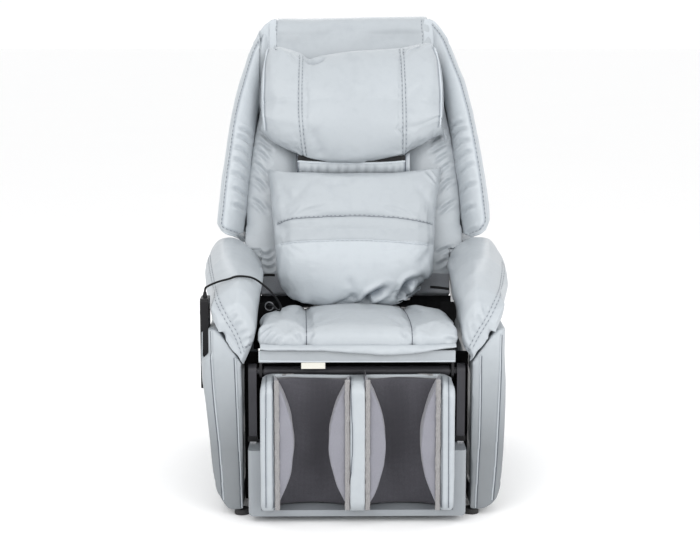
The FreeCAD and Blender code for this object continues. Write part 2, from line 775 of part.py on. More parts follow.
def make_massage_arms():
    """Each rocking arm carries a roller above and below its pivot, as a seesaw."""
    w0 = carriage_w
    v = roller_v
    plate = slab("yz", arm_x - arm_thick / 2 + 1, arm_x + arm_thick / 2 - 1, (v - 9, w0 - roller_span), [
        ((v, w0 - roller_span - 9), (v + 9, w0 - roller_span)),
        ((v + 20, w0 - 26), (14, w0)),
        ((v + 20, w0 + 26), (v + 9, w0 + roller_span)),
        ((v, w0 + roller_span + 9), (v - 9, w0 + roller_span)),
        ((v + 4, w0 + 26), (-8, w0)),
        ((v + 4, w0 - 26), (v - 9, w0 - roller_span))])
    hub = rod("x", (arm_x, 2, w0), 12, 13.4)
    arm = plate.fuse(hub)
    for side in (-1, 1):
        w = w0 + side * roller_span
        arm = arm.fuse(rod("x", (arm_x + 18, v, w), axle_r, 34))
        arm = arm.fuse(rod("x", (arm_x + 36, v, w), axle_r + 3, 3))
    arm = arm.cut(rod("x", (arm_x, 2, w0), axle_r + run_gap, 30)).removeSplitter()
    keep("right_massage_arm", leaned(arm))
    keep("left_massage_arm", leaned(mirrored(arm)))
    x0 = arm_x + 6
    for label, side in (("upper", 1), ("lower", -1)):
        w = w0 + side * roller_span
        wire = outline("xy", w, (x0, v - axle_r - run_gap), [
            ((x0, v - roller_r + 7),),
            ((x0 + roller_wide / 2, v - roller_r - 1), (x0 + roller_wide, v - roller_r + 7)),
            ((x0 + roller_wide, v - axle_r - run_gap),),
            ((x0, v - axle_r - run_gap),)])
        roller = Part.Face(wire).revolve(V(0, v, w), V(1, 0, 0), 360)
        keep("right_" + label + "_roller", leaned(roller))
        keep("left_" + label + "_roller", leaned(mirrored(roller)))


# Legs

def leg_pin():
    a = math.radians(leg_pin_deg)
    return leg_y + leg_lever_r * math.cos(a), leg_z + leg_lever_r * math.sin(a)


def bar_hollow(inset, low, high):
    """The space inside a leg bar, drawn in from the bar's outside."""
    half = bar_deep / 2 - inset
    return box(bar_in + inset, bar_in + bar_wide - inset, leg_y - half, leg_y + half, low, high)


def make_leg_arms():
    """Two flat hollow bars on one torque tube, with the lever that the leg actuator pushes."""
    half = bar_deep / 2
    bar = slab("yz", bar_in, bar_in + bar_wide, (leg_y - half, bar_low), [
        ((leg_y + half, bar_low),),
        ((leg_y + half, leg_z),),
        ((leg_y, leg_z + bar_top), (leg_y - half, leg_z)),
        ((leg_y - half, bar_low),)])
    bar = bar.cut(bar_hollow(bar_wall, bar_low - 1, leg_z - 16))
    shaft = rod("x", (0, leg_y, leg_z), torque_r, 2 * (seat_tube_out - 4))
    stubs = rod("x", (0, leg_y, leg_z), stub_r, 2 * bar_in)
    pin = leg_pin()
    lever = [lever_plate(leg_x + s * 12, (leg_y, leg_z), pin, 10, 5) for s in (-1, 1)]
    lever.append(rod("x", (leg_x, pin[0], pin[1]), lever_pin_r, 32))
    keep("leg_arms", joined(pair(bar) + [shaft, stubs] + lever))
    cap = box(bar_in - 2, bar_in + bar_wide + 2, leg_y - half - 2, leg_y + half + 2, bar_low - 12, bar_low)
    keep("leg_end_caps", group(pair(cap.cut(bar_hollow(bar_wall, bar_low - 13, bar_low + 1)))))
    slide = bar_hollow(bar_wall + slide_gap, foot_top, bar_low + leg_extend + slide_hold)
    keep("leg_slides", group(pair(slide)))


def calf_wall_slab(x0, x1):
    """One upright wall of the calf unit, seen from the side: rounded front corners."""
    r = 34
    k = r * (1 - math.sqrt(0.5))
    return slab("yz", x0, x1, (calf_back, calf_low), [
        ((calf_back, calf_top),),
        ((calf_front + r, calf_top),),
        ((calf_front + k, calf_top - k), (calf_front, calf_top - r)),
        ((calf_front, calf_low + r),),
        ((calf_front + k, calf_low + k), (calf_front + r, calf_low)),
        ((calf_back, calf_low),)])


def make_calf_unit():
    wall = calf_wall_slab(calf_half - calf_wall, calf_half)
    wall = rounded(wall, 9, lambda c: abs(c.y - calf_front) < 1 and c.x > 0)
    divider = calf_wall_slab(-divider_half, divider_half)
    back = box(-calf_half + 2, calf_half - 2, calf_back - tray_thick, calf_back, calf_low, calf_top)
    keep("calf_tray", joined(pair(wall) + [divider, back]))
    x0 = divider_half + pad_gap
    x1 = calf_half - calf_wall - pad_gap
    y0 = calf_back - tray_thick - slide_gap
    lining = slab("xy", calf_low + 2, calf_top - 2, (x0, y0), [
        ((x1, y0),),
        ((x1, y0 - lining_thick - 16),),
        (((x0 + x1) / 2, y0 - lining_thick + 4), (x0, y0 - lining_thick - 16)),
        ((x0, y0),)])
    keep("calf_linings", group(pair(lining)))
    z0 = calf_low + 9
    z1 = calf_top - 9
    middle = (z0 + z1) / 2
    bags = []
    for face, bulge in ((x0, 47), (x1, -43)):
        bags.append(slab("xz", calf_front + 9, calf_front + 64, (face, z1), [
            ((face + bulge, middle), (face, z0)),
            ((face, z1),)]))
    keep("calf_airbags", group([mirrored(b) for b in bags] + bags))
    strips = []
    for a, b in ((x0, x0 + 11), (x1 - 11, x1)):
        strips.append(box(a, b, calf_front + 3, calf_front + 9 - slide_gap, z0, z1))
    keep("calf_trims", group([mirrored(s) for s in strips] + strips))


def make_foot_base():
    """The housing behind and under the calf unit."""
    g = slide_gap
    body = box(-foot_half, foot_half, foot_front, foot_rear, foot_low, foot_top)
    body = rounded(body, 10, lambda c: abs(abs(c.x) - foot_half) < 1
                   and (c.z < foot_low + 1 or abs(c.y - foot_front) < 1))
    body = body.cut(box(-calf_half - g, calf_half + g, foot_front - 1, calf_back + g,
                        calf_low - g, foot_top + 1))
    keep("foot_base", body)


# Actuators

def pin_swing(radius, start, swing):
    """The middle height of a lever's pin below its pivot, and half of its rise and fall."""
    heights = [radius * math.sin(math.radians(start - swing * k / 20)) for k in range(21)]
    return (max(heights) + min(heights)) / 2, (max(heights) - min(heights)) / 2


def slotted_head(x, pin_y, z, half_travel):
    """A rod end with an upright slot, so the lever's pin may rise and fall as it swings."""
    half = half_travel + lever_pin_r + 1.5
    side = slot_wide / 2
    outer = box(x - 7, x + 7, pin_y - side - 8, pin_y + side + 8, z - half - 8, z + half + 8)
    slot = box(x - 8, x + 8, pin_y - side, pin_y + side, z - half, z + half)
    return outer.cut(slot)


def make_recline_actuator():
    pin_y = hinge_y + recline_r * math.cos(math.radians(recline_pin_deg))
    middle, rise = pin_swing(recline_r, recline_pin_deg, recline_deg)
    z = hinge_z + middle
    x = recline_x
    head = slotted_head(x, pin_y, z, rise)
    front = pin_y - slot_wide / 2 - 8
    shaft = rod("y", (x, (front - 20) / 2, z), rod_r, front + 20)
    keep("recline_rod", joined([head, shaft]))
    tube_front = -190.0
    tube_rear = 60.0
    case = rod("y", (x, (tube_front + tube_rear) / 2, z), body_r, tube_rear - tube_front)
    motor = rod("z", (x, tube_front + 40, z - 58), 30, 80)
    block = box(x - 26, x + 26, tube_front - 4, tube_front + 78, z - 30, z + 20)
    saddle = box(x - 15, x + 15, 2, 26, z + 10, deck_top - deck_thick - tube)
    case = joined([case, motor, block, saddle]).cut(rod("y", (x, tube_rear - 75, z), rod_r + run_gap, 152))
    keep("recline_actuator", case)


def make_leg_actuator():
    pin_y = leg_pin()[0]
    middle, rise = pin_swing(leg_lever_r, leg_pin_deg, leg_lift_deg)
    z = leg_z + middle
    x = leg_x
    head = slotted_head(x, pin_y, z, rise)
    rear = pin_y + slot_wide / 2 + 8
    shaft = rod("y", (x, (rear - 200) / 2, z), rod_r, -200 - rear)
    keep("leg_rod", joined([head, shaft]))
    tube_front = -318.0
    tube_rear = -90.0
    case = rod("y", (x, (tube_front + tube_rear) / 2, z), body_r, tube_rear - tube_front)
    motor = rod("z", (x, tube_rear - 36, z - 58), 30, 80)
    block = box(x - 26, x + 26, tube_rear - 74, tube_rear + 4, z - 30, z + 26)
    post_y = rail_front + 60
    post = box(x - 10, x + 10, post_y + 4, post_y + 24, rail_low + 6 + tube, z)
    case = joined([case, motor, block, post]).cut(rod("y", (x, tube_front + 73, z), rod_r + run_gap, 148))
    keep("leg_actuator", case)


# Electrics and air

def make_electrics():
    top = rail_low + 6 + tube
    box_rear = 212.0
    case = box(-200, -86, 40, box_rear, top, top + 84)
    case = rounded(case, 6, lambda c: abs(c.z - top - 84) < 1)
    keep("control_box", case)
    pump = box(84, 190, 40, 176, top, top + 70)
    head = rod("z", (137, 108, top + 82), 34, 24)
    ports = [rod("x", (196, y, top + 44), 5, 12) for y in (70, 96, 122, 148)]
    keep("air_pump", joined([pump, head] + ports))
    inlet = box(-172, -114, box_rear, box_rear + 22, top + 4, top + 72)
    socket = box(-156, -130, box_rear + 6, box_rear + 23, top + 12, top + 30)
    bay = box(-154.5, -131.5, box_rear + 4, box_rear + 23, top + 42, top + 64)
    pivot = (-143, box_rear + 14, top + 53)
    bay = bay.fuse(rod("x", pivot, rocker_pin_r + run_gap, 26))
    blades = [box(x - 1, x + 1, box_rear + 5, box_rear + 18, top + 18, top + 24) for x in (-150, -143, -136)]
    keep("power_inlet", joined([inlet.cut(socket).cut(bay)] + blades))
    y = box_rear + 16
    z = top + 53
    rocker = slab("yz", -153.5, -132.5, (y - 7, z - 8), [
        ((y + 9, z - 9),),
        ((y + 6, z), (y + 9, z + 9)),
        ((y - 7, z + 8),),
        ((y - 7, z - 8),)])
    keep("rocker_switch", rocker.fuse(rod("x", pivot, rocker_pin_r, 25.6)).removeSplitter())


# Wheels

def make_wheels():
    g = slide_gap
    fork = []
    for x0 in (rail_out - rail_wide - 3, rail_out):
        fork.append(slab("yz", x0, x0 + 3, (rail_rear - 30, rail_low + 6), [
            ((wheel_y, wheel_z - 12),),
            ((wheel_y + 12, wheel_z), (wheel_y, wheel_z + 12)),
            ((rail_rear - 30, rail_low + rail_high - 4),),
            ((rail_rear - 30, rail_low + 6),)]))
    middle = rail_out - rail_wide / 2
    fork.append(rod("x", (middle, wheel_y, wheel_z), wheel_axle_r, rail_wide + 10))
    keep("wheel_forks", group(pair(joined(fork))))
    half = wheel_wide / 2
    wire = outline("xz", wheel_y, (middle - half - 3, wheel_z + wheel_axle_r + run_gap), [
        ((middle - half - 3, wheel_z + 11),),
        ((middle - half, wheel_z + 11),),
        ((middle - half, wheel_z + wheel_r - 4),),
        ((middle, wheel_z + wheel_r), (middle + half, wheel_z + wheel_r - 4)),
        ((middle + half, wheel_z + 11),),
        ((middle + half + 3, wheel_z + 11),),
        ((middle + half + 3, wheel_z + wheel_axle_r + run_gap),),
        ((middle - half - 3, wheel_z + wheel_axle_r + run_gap),)])
    wheel = Part.Face(wire).revolve(V(0, wheel_y, wheel_z), V(1, 0, 0), 360)
    keep("right_wheel", wheel)
    keep("left_wheel", mirrored(wheel))


# Remote control

key_rows = [("power_key", 497, 0), ("up_key", 478, -13), ("down_key", 478, 13), ("program_key", 459, 0)]
cord_exit_high = 12.0
ring_centre = (7.0 - seat_half, -60.0, 436.0)
over_pad = [(-344, -363, 557), (-324, -361, 567), (-298, -359, 570), (-272, -355, 567)]
beside_seat = [(-23, -349, 559), (-4, -339, 545), (8, -320, 525), (17, -293, 506), (26, -261, 485),
               (35, -232, 457), (41, -204, 446), (38, -174, 443), (26, -144, 439), (12, -112, 437)]


def make_remote():
    x0 = -arm_front_out - slide_gap
    x1 = x0 - remote_thick
    y0 = remote_y - remote_wide / 2
    y1 = remote_y + remote_wide / 2
    body = box(x1, x0, y0, y1, remote_low, remote_high)
    body = rounded(body, 8, lambda c: abs(c.x - (x0 + x1) / 2) < 1)
    for name, z, dy in key_rows:
        body = body.cut(rod("x", (x1, remote_y + dy, z), key_r + slide_gap, 2 * key_deep))
        keep(name, rod("x", (x1 - key_proud + key_deep / 2, remote_y + dy, z), key_r, key_deep))
    nub = Part.makeCone(6, cord_d / 2 + 1, cord_exit_high, V((x0 + x1) / 2, remote_y, remote_high))
    keep("remote_housing", body.fuse(nub).removeSplitter())
    wall = 3.0
    g = slide_gap
    edge = x1 - wall - g
    pouch = slab("xz", y0 - wall - g, y1 + wall + g, (x0 + g, pocket_low), [
        ((edge + 6, remote_low - 60), (edge, remote_low - 5)),
        ((edge, pocket_mouth),),
        ((x0 + g, pocket_mouth - 20),),
        ((x0 + g, pocket_low),)])
    flank = slab("yz", edge, edge + wall, (y0 - wall - g, pocket_mouth - 30), [
        ((y1 + wall + g, pocket_mouth - 30),),
        ((y1 + wall + g, pocket_mouth + 50),),
        ((remote_y, pocket_mouth + 66), (y0 - wall - g, pocket_mouth + 50)),
        ((y0 - wall - g, pocket_mouth - 30),)])
    pouch = pouch.fuse(flank).removeSplitter()
    pocket = pouch.cut(box(x1 - g, x0 + g + 1, y0 - g, y1 + g, remote_low - g, pocket_mouth + 80))
    keep("remote_pocket", pocket)


def make_cord():
    """The remote's cord, over the arm pad and down beside the seat to the ring."""
    x, y, z = ring_centre
    remote_x = -arm_front_out - slide_gap - remote_thick / 2
    start = (remote_x, remote_y, remote_high + cord_exit_high)
    route = [start, (remote_x, remote_y, start[2] + 17)] + over_pad
    route = route + [(p[0] - seat_half, p[1], p[2]) for p in beside_seat] + [(x, y - 26, z), (x, y - 4, z)]
    runs = [(V(*b) - V(*a)).Length for a, b in zip(route, route[1:])]
    edges = []
    here = V(*route[0])
    length = 0.0
    for i in range(1, len(route) - 1):
        a, b, c = V(*route[i - 1]), V(*route[i]), V(*route[i + 1])
        u = (b - a).normalize()
        v = (c - b).normalize()
        turn = math.acos(max(-1.0, min(1.0, u.dot(v))))
        cut = 0.45 * min(runs[i - 1], runs[i])
        radius = cut / math.tan(turn / 2)
        print("cord bend", i, "radius", round(radius, 1), "turn", round(math.degrees(turn)))
        p = b - u * cut
        q = b + v * cut
        away = (v - u).normalize()
        middle = b + away * (radius / math.cos(turn / 2) - radius)
        edges.append(Part.LineSegment(here, p).toShape())
        edges.append(Part.Arc(p, middle, q).toShape())
        length = length + (p - here).Length + radius * turn
        here = q
    last = V(*route[-1])
    edges.append(Part.LineSegment(here, last).toShape())
    length = length + (last - here).Length
    path = Part.Wire(edges)
    section_wire = Part.Wire(Part.makeCircle(cord_d / 2, V(*start), V(0, 0, 1)))
    tube_solid = path.makePipeShell([section_wire], True, False)
    section = math.pi * cord_d * cord_d / 4
    print("cord length", round(length, 1))
    print("cord volume", round(tube_solid.Volume), "section by length", round(section * length))
    keep("remote_cord", tube_solid)
    ring = rod("y", (x, y, z), 11, 8).cut(rod("y", (x, y - 4, z), 7, 4))
    ring = ring.fuse(rod("y", (x, y - 3, z), 4, 2))
    plate = box(x - 4, x + 14, y + 1, y + 4, deck_top, z + 10)
    keep("cord_grommet", ring.fuse(plate).removeSplitter())


make_floor_frame()
make_seat_frame()
make_seat()
make_arms()
make_wings()
make_back_pad()
make_head_flap()
make_cushions(make_bolsters())
make_back_cover()
make_back_frame()
make_lift_screw()
make_carriage()
make_massage_arms()
make_leg_arms()
make_calf_unit()
make_foot_base()
make_recline_actuator()
make_leg_actuator()
make_electrics()
make_wheels()
make_remote()
make_cord()

for name, shape in nodes.items():
    shape.exportStep("parts/" + name + ".step")
    b = shape.BoundBox
    print(name, len(shape.Solids), shape.isValid(), round(shape.Volume / 1000, 1),
          [round(v) for v in (b.XMin, b.XMax, b.YMin, b.YMax, b.ZMin, b.ZMax)])
whole = FreeCAD.BoundBox()
for shape in nodes.values():
    whole.add(shape.BoundBox)
print("nodes", len(nodes), "box", whole)
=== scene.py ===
import json
import math
import bmesh
import bpy
import numpy as np
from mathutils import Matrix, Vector, noise
from mathutils.bvhtree import BVHTree
from mathutils.kdtree import KDTree


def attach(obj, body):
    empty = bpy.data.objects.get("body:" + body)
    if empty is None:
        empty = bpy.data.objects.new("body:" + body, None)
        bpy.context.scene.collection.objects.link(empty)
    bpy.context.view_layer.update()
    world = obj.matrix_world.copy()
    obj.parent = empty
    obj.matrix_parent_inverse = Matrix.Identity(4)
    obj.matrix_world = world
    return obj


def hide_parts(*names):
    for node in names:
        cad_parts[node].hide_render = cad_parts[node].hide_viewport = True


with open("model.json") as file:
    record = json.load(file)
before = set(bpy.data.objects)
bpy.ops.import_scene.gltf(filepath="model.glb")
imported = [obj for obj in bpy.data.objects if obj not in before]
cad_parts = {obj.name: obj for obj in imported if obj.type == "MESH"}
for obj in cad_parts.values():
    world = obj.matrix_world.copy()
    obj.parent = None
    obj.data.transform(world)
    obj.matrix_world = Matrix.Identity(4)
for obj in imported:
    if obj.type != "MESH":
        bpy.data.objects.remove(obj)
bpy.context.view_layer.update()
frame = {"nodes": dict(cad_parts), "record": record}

# Massage chair. Metres, +Z up, +X to the viewer's right, the sitter faces -Y.
scene = bpy.context.scene
bpy.ops.object.select_all(action="DESELECT")


# Camera, where the photograph was taken from

shot = {"turn": -0.7, "rise": 9.0, "away": 3.8, "target": (-0.011, 0.0, 0.5055), "lens": 75.96, "focal": 1477.0,
        "middle": (350, 275)}


def placeCamera():
    turn = math.radians(shot["turn"])
    rise = math.radians(shot["rise"])
    target = Vector(shot["target"])
    reach = Vector((math.sin(turn) * math.cos(rise), -math.cos(turn) * math.cos(rise), math.sin(rise)))
    bpy.ops.object.camera_add(location=target + reach * shot["away"])
    camera = bpy.context.object
    camera.rotation_euler = (-reach).to_track_quat("-Z", "Y").to_euler()
    camera.data.lens = shot["lens"]
    camera.data.sensor_width = 36
    scene.camera = camera
    bpy.context.view_layer.update()
    return camera


camera = placeCamera()


def sight(pixel):
    across, down = shot["middle"]
    ray = Vector(((pixel[0] - across) / shot["focal"], (down - pixel[1]) / shot["focal"], -1))
    return (camera.matrix_world.to_3x3() @ ray).normalized()


# Materials

class Wire:
    def __init__(self, look, socket):
        self.look = look
        self.socket = socket

    def join(self, operation, first, second):
        return self.look.add("ShaderNodeMath", {"operation": operation}, {0: first, 1: second})

    def __add__(self, other):
        return self.join("ADD", self, other)

    def __radd__(self, other):
        return self.join("ADD", other, self)

    def __sub__(self, other):
        return self.join("SUBTRACT", self, other)

    def __rsub__(self, other):
        return self.join("SUBTRACT", other, self)

    def __mul__(self, other):
        return self.join("MULTIPLY", self, other)

    def __rmul__(self, other):
        return self.join("MULTIPLY", other, self)

    def __gt__(self, other):
        return self.join("GREATER_THAN", self, other)


class Look:
    def __init__(self, name, fixed):
        self.material = bpy.data.materials.new(name)
        self.material.use_nodes = True
        self.nodes = self.material.node_tree.nodes
        self.links = self.material.node_tree.links
        self.shader = self.nodes["Principled BSDF"]
        for socket, value in fixed.items():
            self.shader.inputs[socket].default_value = value
        self.place = self.add("ShaderNodeTexCoord", {}, {}, "Object")

    def add(self, kind, settings, inputs, output=0):
        node = self.nodes.new(kind)
        for name, value in settings.items():
            setattr(node, name, value)
        for socket, value in inputs.items():
            if isinstance(value, Wire):
                self.links.new(value.socket, node.inputs[socket])
            else:
                node.inputs[socket].default_value = value
        return Wire(self, node.outputs[output])

    def feed(self, socket, wire):
        self.links.new(wire.socket, self.shader.inputs[socket])

    def mix(self, amount, first, second):
        return self.add("ShaderNodeMix", {"data_type": "RGBA", "clamp_factor": True},
                        {0: amount, 6: first, 7: second}, 2)

    def cloud(self, scale, detail=3.0, place=None):
        return self.add("ShaderNodeTexNoise", {}, {"Vector": place or self.place, "Scale": scale, "Detail": detail})

    def cells(self, scale):
        return self.add("ShaderNodeTexVoronoi", {}, {"Vector": self.place, "Scale": scale})

    def bands(self, way, pitch, distortion=0.6):
        return self.add("ShaderNodeTexWave", {"wave_type": "BANDS", "bands_direction": way},
                        {"Vector": self.place, "Scale": pitch, "Distortion": distortion, "Detail Scale": 3.0})

    def mark(self, name):
        return self.add("ShaderNodeAttribute", {"attribute_name": name}, {}, "Fac")

    def bump(self, height, deep, strength, over=None):
        inputs = {"Height": height, "Distance": deep, "Strength": strength}
        if over:
            inputs["Normal"] = over
        return self.add("ShaderNodeBump", {}, inputs)


def shade(colour, factor):
    return tuple(min(1.0, part * factor) for part in colour[:3]) + (1.0,)


leather = {"colour": (0.385, 0.416, 0.442), "shadow": (0.15, 0.175, 0.21), "rough": 0.40, "grain": 820.0}


def leatherLook(name, tint=1.0, rough=leather["rough"], crumple=1.0, colour=leather["colour"], paintedLowShade=None):
    look = Look(name, {"Coat Roughness": 0.32, "IOR": 1.48})
    tone = look.cloud(5.0, 2.0)
    fine = look.cloud(46.0, 4.0)
    paintedShade = look.mark("paintedShade")
    body = look.mix(tone, shade(colour, tint * 0.94), shade(colour, tint * 1.06))
    # Painted shade: the colour darkens towards the bottom over the given height range
    if paintedLowShade:
        height = look.add("ShaderNodeSeparateXYZ", {}, {0: look.place}, 2)
        low = look.add("ShaderNodeMapRange", {}, {0: height, 1: paintedLowShade[0], 2: paintedLowShade[1], 3: paintedLowShade[2], 4: 0.0})
        body = look.mix(low, body, shade(colour, 0.35))
    # Painted shade: the groove mark mixes the colour towards the shadow colour, and the same mark thins the coat
    look.feed("Base Color", look.mix((fine - 0.5) * 0.3 + paintedShade, body, shade(leather["shadow"], tint)))
    look.feed("Roughness", rough + (tone - 0.5) * 0.12 + (fine - 0.5) * 0.1)
    look.feed("Coat Weight", 0.14 - paintedShade * 0.12)
    pores = look.cells(leather["grain"]) + look.cells(leather["grain"] * 0.45) * 0.6
    soft = look.cloud(14.0, 3.0)
    folds = look.bump(soft * 0.7 + fine * 0.3, 0.004 * crumple, 0.45)
    look.feed("Normal", look.bump(pores, 0.0003, 0.45, folds))
    return look.material


def wovenLook(name, colour, dark, pitch, rough=0.9, wave=0.0006, sheen=0.25):
    look = Look(name, {"Sheen Weight": sheen, "Sheen Roughness": 0.5, "IOR": 1.4})
    weave = look.bands("X", pitch) * look.bands("Z", pitch)
    fuzz = look.cloud(300.0, 4.0)
    tone = look.cloud(9.0, 2.0)
    paintedShade = look.mark("paintedShade")
    # Painted shade: the groove mark darkens the weave
    look.feed("Base Color", look.mix(weave * 0.5 + fuzz * 0.4 + (tone - 0.5) * 0.5 - paintedShade * 0.5, dark, colour))
    look.feed("Roughness", rough - 0.1 * weave)
    look.feed("Normal", look.bump(weave + fuzz * 0.6, wave, 0.7))
    return look.material


def plasticLook(name, colour, rough, grain=600.0, deep=0.0001, metallic=0.0, coat=0.0, gloss=1.5):
    look = Look(name, {"IOR": gloss, "Coat Roughness": 0.2})
    tone = look.cloud(11.0, 3.0)
    scuff = look.cloud(70.0, 5.0)
    look.feed("Base Color", look.mix(tone, shade(colour, 0.9), shade(colour, 1.1)))
    look.feed("Roughness", rough + (scuff - 0.5) * 0.16)
    look.feed("Metallic", metallic + (scuff - 0.5) * 0.04)
    look.feed("Coat Weight", coat + (tone - 0.5) * 0.03)
    look.feed("Normal", look.bump(look.cloud(grain, 2.0), deep, 0.6))
    return look.material


def brushedLook(name, colour, rough):
    look = Look(name, {})
    stretched = look.add("ShaderNodeMapping", {}, {"Vector": look.place, "Scale": (1.0, 30.0, 30.0)})
    lines = look.cloud(60.0, 6.0, stretched)
    tone = look.cloud(8.0, 3.0)
    look.feed("Base Color", look.mix(tone, shade(colour, 0.85), shade(colour, 1.08)))
    look.feed("Metallic", 0.96 - (tone > 0.8) * 0.1)
    look.feed("Roughness", rough + (lines - 0.5) * 0.25)
    look.feed("Normal", look.bump(lines, 0.00008, 0.5))
    return look.material


def ribbedLook(name, colour, dark, pitch):
    look = Look(name, {"IOR": 1.4})
    ribs = look.bands("X", pitch, 2.5)
    fuzz = look.cloud(500.0, 3.0)
    look.feed("Base Color", look.mix(ribs * 0.75 + fuzz * 0.25, dark, colour))
    look.feed("Roughness", 0.75 - ribs * 0.15)
    look.feed("Normal", look.bump(ribs + fuzz * 0.2, 0.0012, 0.9))
    return look.material


looks = {
    "light_leather": leatherLook("lightLeather"),
    "charcoal_knit": wovenLook("charcoalKnit", (0.112, 0.110, 0.128, 1), (0.04, 0.039, 0.047, 1), 110.0),
    "lilac_fabric": wovenLook("lilacFabric", (0.285, 0.287, 0.322, 1), (0.185, 0.185, 0.215, 1), 150.0, 0.8, 0.0003),
    "ribbed_trim": ribbedLook("ribbedTrim", (0.45, 0.442, 0.445, 1), (0.17, 0.165, 0.168, 1), 120.0),
    "black_steel": plasticLook("blackSteel", (0.018, 0.018, 0.020), 0.42, 900.0, 0.00015, 0.2, 0.04, 1.35),
    "grey_steel": plasticLook("greySteel", (0.042, 0.042, 0.048), 0.42, 900.0, 0.00012, 0.2, 0.04, 1.35),
    "bright_steel": brushedLook("brightSteel", (0.72, 0.72, 0.74), 0.26),
    "black_plastic": plasticLook("blackPlastic", (0.010, 0.010, 0.011), 0.42, 1400.0, 0.00008, gloss=1.28),
    "silver_plastic": plasticLook("silverPlastic", (0.25, 0.27, 0.29), 0.36, 1200.0, 0.00006, 0.1, 0.15),
    "grey_plastic": plasticLook("greyPlastic", (0.23, 0.235, 0.25), 0.45, 1200.0, 0.00008),
    "black_rubber": plasticLook("blackRubber", (0.02, 0.02, 0.02), 0.75, 500.0, 0.0002),
    "black_cloth": wovenLook("blackCloth", (0.012, 0.012, 0.013, 1), (0.004, 0.004, 0.005, 1), 180.0, 0.95,
                             0.0003, 0.0),
    "cable_jacket": plasticLook("cableJacket", (0.008, 0.008, 0.009), 0.5, 800.0, 0.00008, gloss=1.25),
    # The apron's leather is a darker copy of the leather: painted shade under the seat's hem
    "apron_leather": leatherLook("apronShadedLeather", 0.85, 0.3, 0.5),
    "key_plastic": plasticLook("keyPlastic", (0.33, 0.34, 0.36), 0.4, 1500.0, 0.00005),
}
threadLook = plasticLook("greyThread", (0.075, 0.085, 0.105), 0.7, 2500.0, 0.0001)
lightThreadLook = plasticLook("lightThread", (0.52, 0.56, 0.60), 0.65, 2500.0, 0.0001)
pipingLook = leatherLook("whitePiping", 1.28, 0.34, 0.3)
bindingLook = leatherLook("edgeBinding", 1.0, 0.42, 0.4)
# Arm leather darkened towards the bottom: painted shade
armPaintedShadeLook = leatherLook("armLeatherPaintedShade", paintedLowShade=(0.16, 0.44, 0.80))
# A lighter copy of the leather for the wings, their corners and the lumbar's lower section: painted light
paintedLightLeatherLook = leatherLook("paintedLightLeather", 1.19)
webLook = wovenLook("blackWebbing", (0.02, 0.02, 0.021, 1), (0.006, 0.006, 0.007, 1), 220.0)
greyClothLook = wovenLook("greyCloth", (0.38, 0.395, 0.42, 1), (0.22, 0.23, 0.25, 1), 160.0)
creamLook = leatherLook("creamTab", 1.0, 0.5, 0.2, (0.62, 0.61, 0.55))

for node in frame["record"]["subparts"]:
    cadPiece = frame["nodes"][node["node"]]
    for holder in cadPiece.material_slots:
        holder.material = looks[node["material_slot"]]
print("materials made")


# Floor, light and world

def placeLights():
    bpy.ops.mesh.primitive_grid_add(x_subdivisions=4, y_subdivisions=4, size=400, location=(0, 0, -0.0005))
    floor = bpy.context.object
    floor.name = "floor"
    bpy.ops.object.transform_apply(location=True)
    floorLook = Look("paleFloor", {"Roughness": 0.8, "IOR": 1.2})
    floorLook.feed("Base Color", floorLook.mix(floorLook.cloud(0.6), (0.955, 0.957, 0.96, 1), (0.97, 0.97, 0.97, 1)))
    floor.data.materials.append(floorLook.material)
    world = bpy.data.worlds.new("studio")
    scene.world = world
    world.use_nodes = True
    world.node_tree.nodes["Background"].inputs["Color"].default_value = (1.0, 1.0, 1.0, 1)
    world.node_tree.nodes["Background"].inputs["Strength"].default_value = 1.02
    lamps = [
        ("key", (-1.4, -3.0, 2.5), (0.0, 0.0, 0.6), 2.2, 43),
        ("fill", (1.9, -3.1, 1.8), (0.0, 0.0, 0.6), 2.2, 45),
        ("top", (0.0, -0.7, 3.2), (0.0, -0.1, 0.5), 2.0, 5),
        ("rear", (0.0, 3.0, 2.6), (0.0, 0.2, 0.7), 2.4, 22),
    ]
    for name, spot, target, size, power in lamps:
        bpy.ops.object.light_add(type="AREA", location=spot)
        lamp = bpy.context.object
        lamp.name = name
        lamp.data.size = size
        lamp.data.energy = power
        lamp.rotation_euler = (Vector(target) - Vector(spot)).to_track_quat("-Z", "Y").to_euler()
    scene.view_settings.view_transform = "Standard"


placeLights()


# Hand tools

def pick(piece):
    bpy.ops.object.select_all(action="DESELECT")
    piece.select_set(True)
    bpy.context.view_layer.objects.active = piece
    return piece


def linked(name, data):
    piece = bpy.data.objects.new(name, data)
    scene.collection.objects.link(piece)
    return piece


def fromFaces(name, spots, faces):
    mesh = bpy.data.meshes.new(name)
    mesh.from_pydata(spots, [], faces)
    return linked(name, mesh)


# Names the primitive that was just added, and puts its place into its mesh
def settle(name):
    piece = bpy.context.object
    piece.name = name
    bpy.ops.object.transform_apply()
    return piece


def modify(piece, kind, **settings):
    pick(piece)
    step = piece.modifiers.new(kind.title(), kind)
    for name, value in settings.items():
        setattr(step, name, value)
    bpy.ops.object.modifier_apply(modifier=step.name)
    return piece


def subdivide(piece, levels=1):
    return modify(piece, "SUBSURF", levels=levels, render_levels=levels)


def copyOf(name, node):
    piece = pick(linked(name, frame["nodes"][node].data.copy()))
    piece.data.materials.clear()
    bpy.ops.object.mode_set(mode="EDIT")
    bpy.ops.mesh.select_all(action="SELECT")
    bpy.ops.mesh.remove_doubles(threshold=0.00003)
    bpy.ops.object.mode_set(mode="OBJECT")
    return piece


def remesh(piece, size, rounds):
    pick(piece)
    piece.data.remesh_voxel_size = size
    piece.data.remesh_voxel_adaptivity = 0
    bpy.ops.object.voxel_remesh()
    return modify(piece, "SMOOTH", factor=0.5, iterations=rounds)


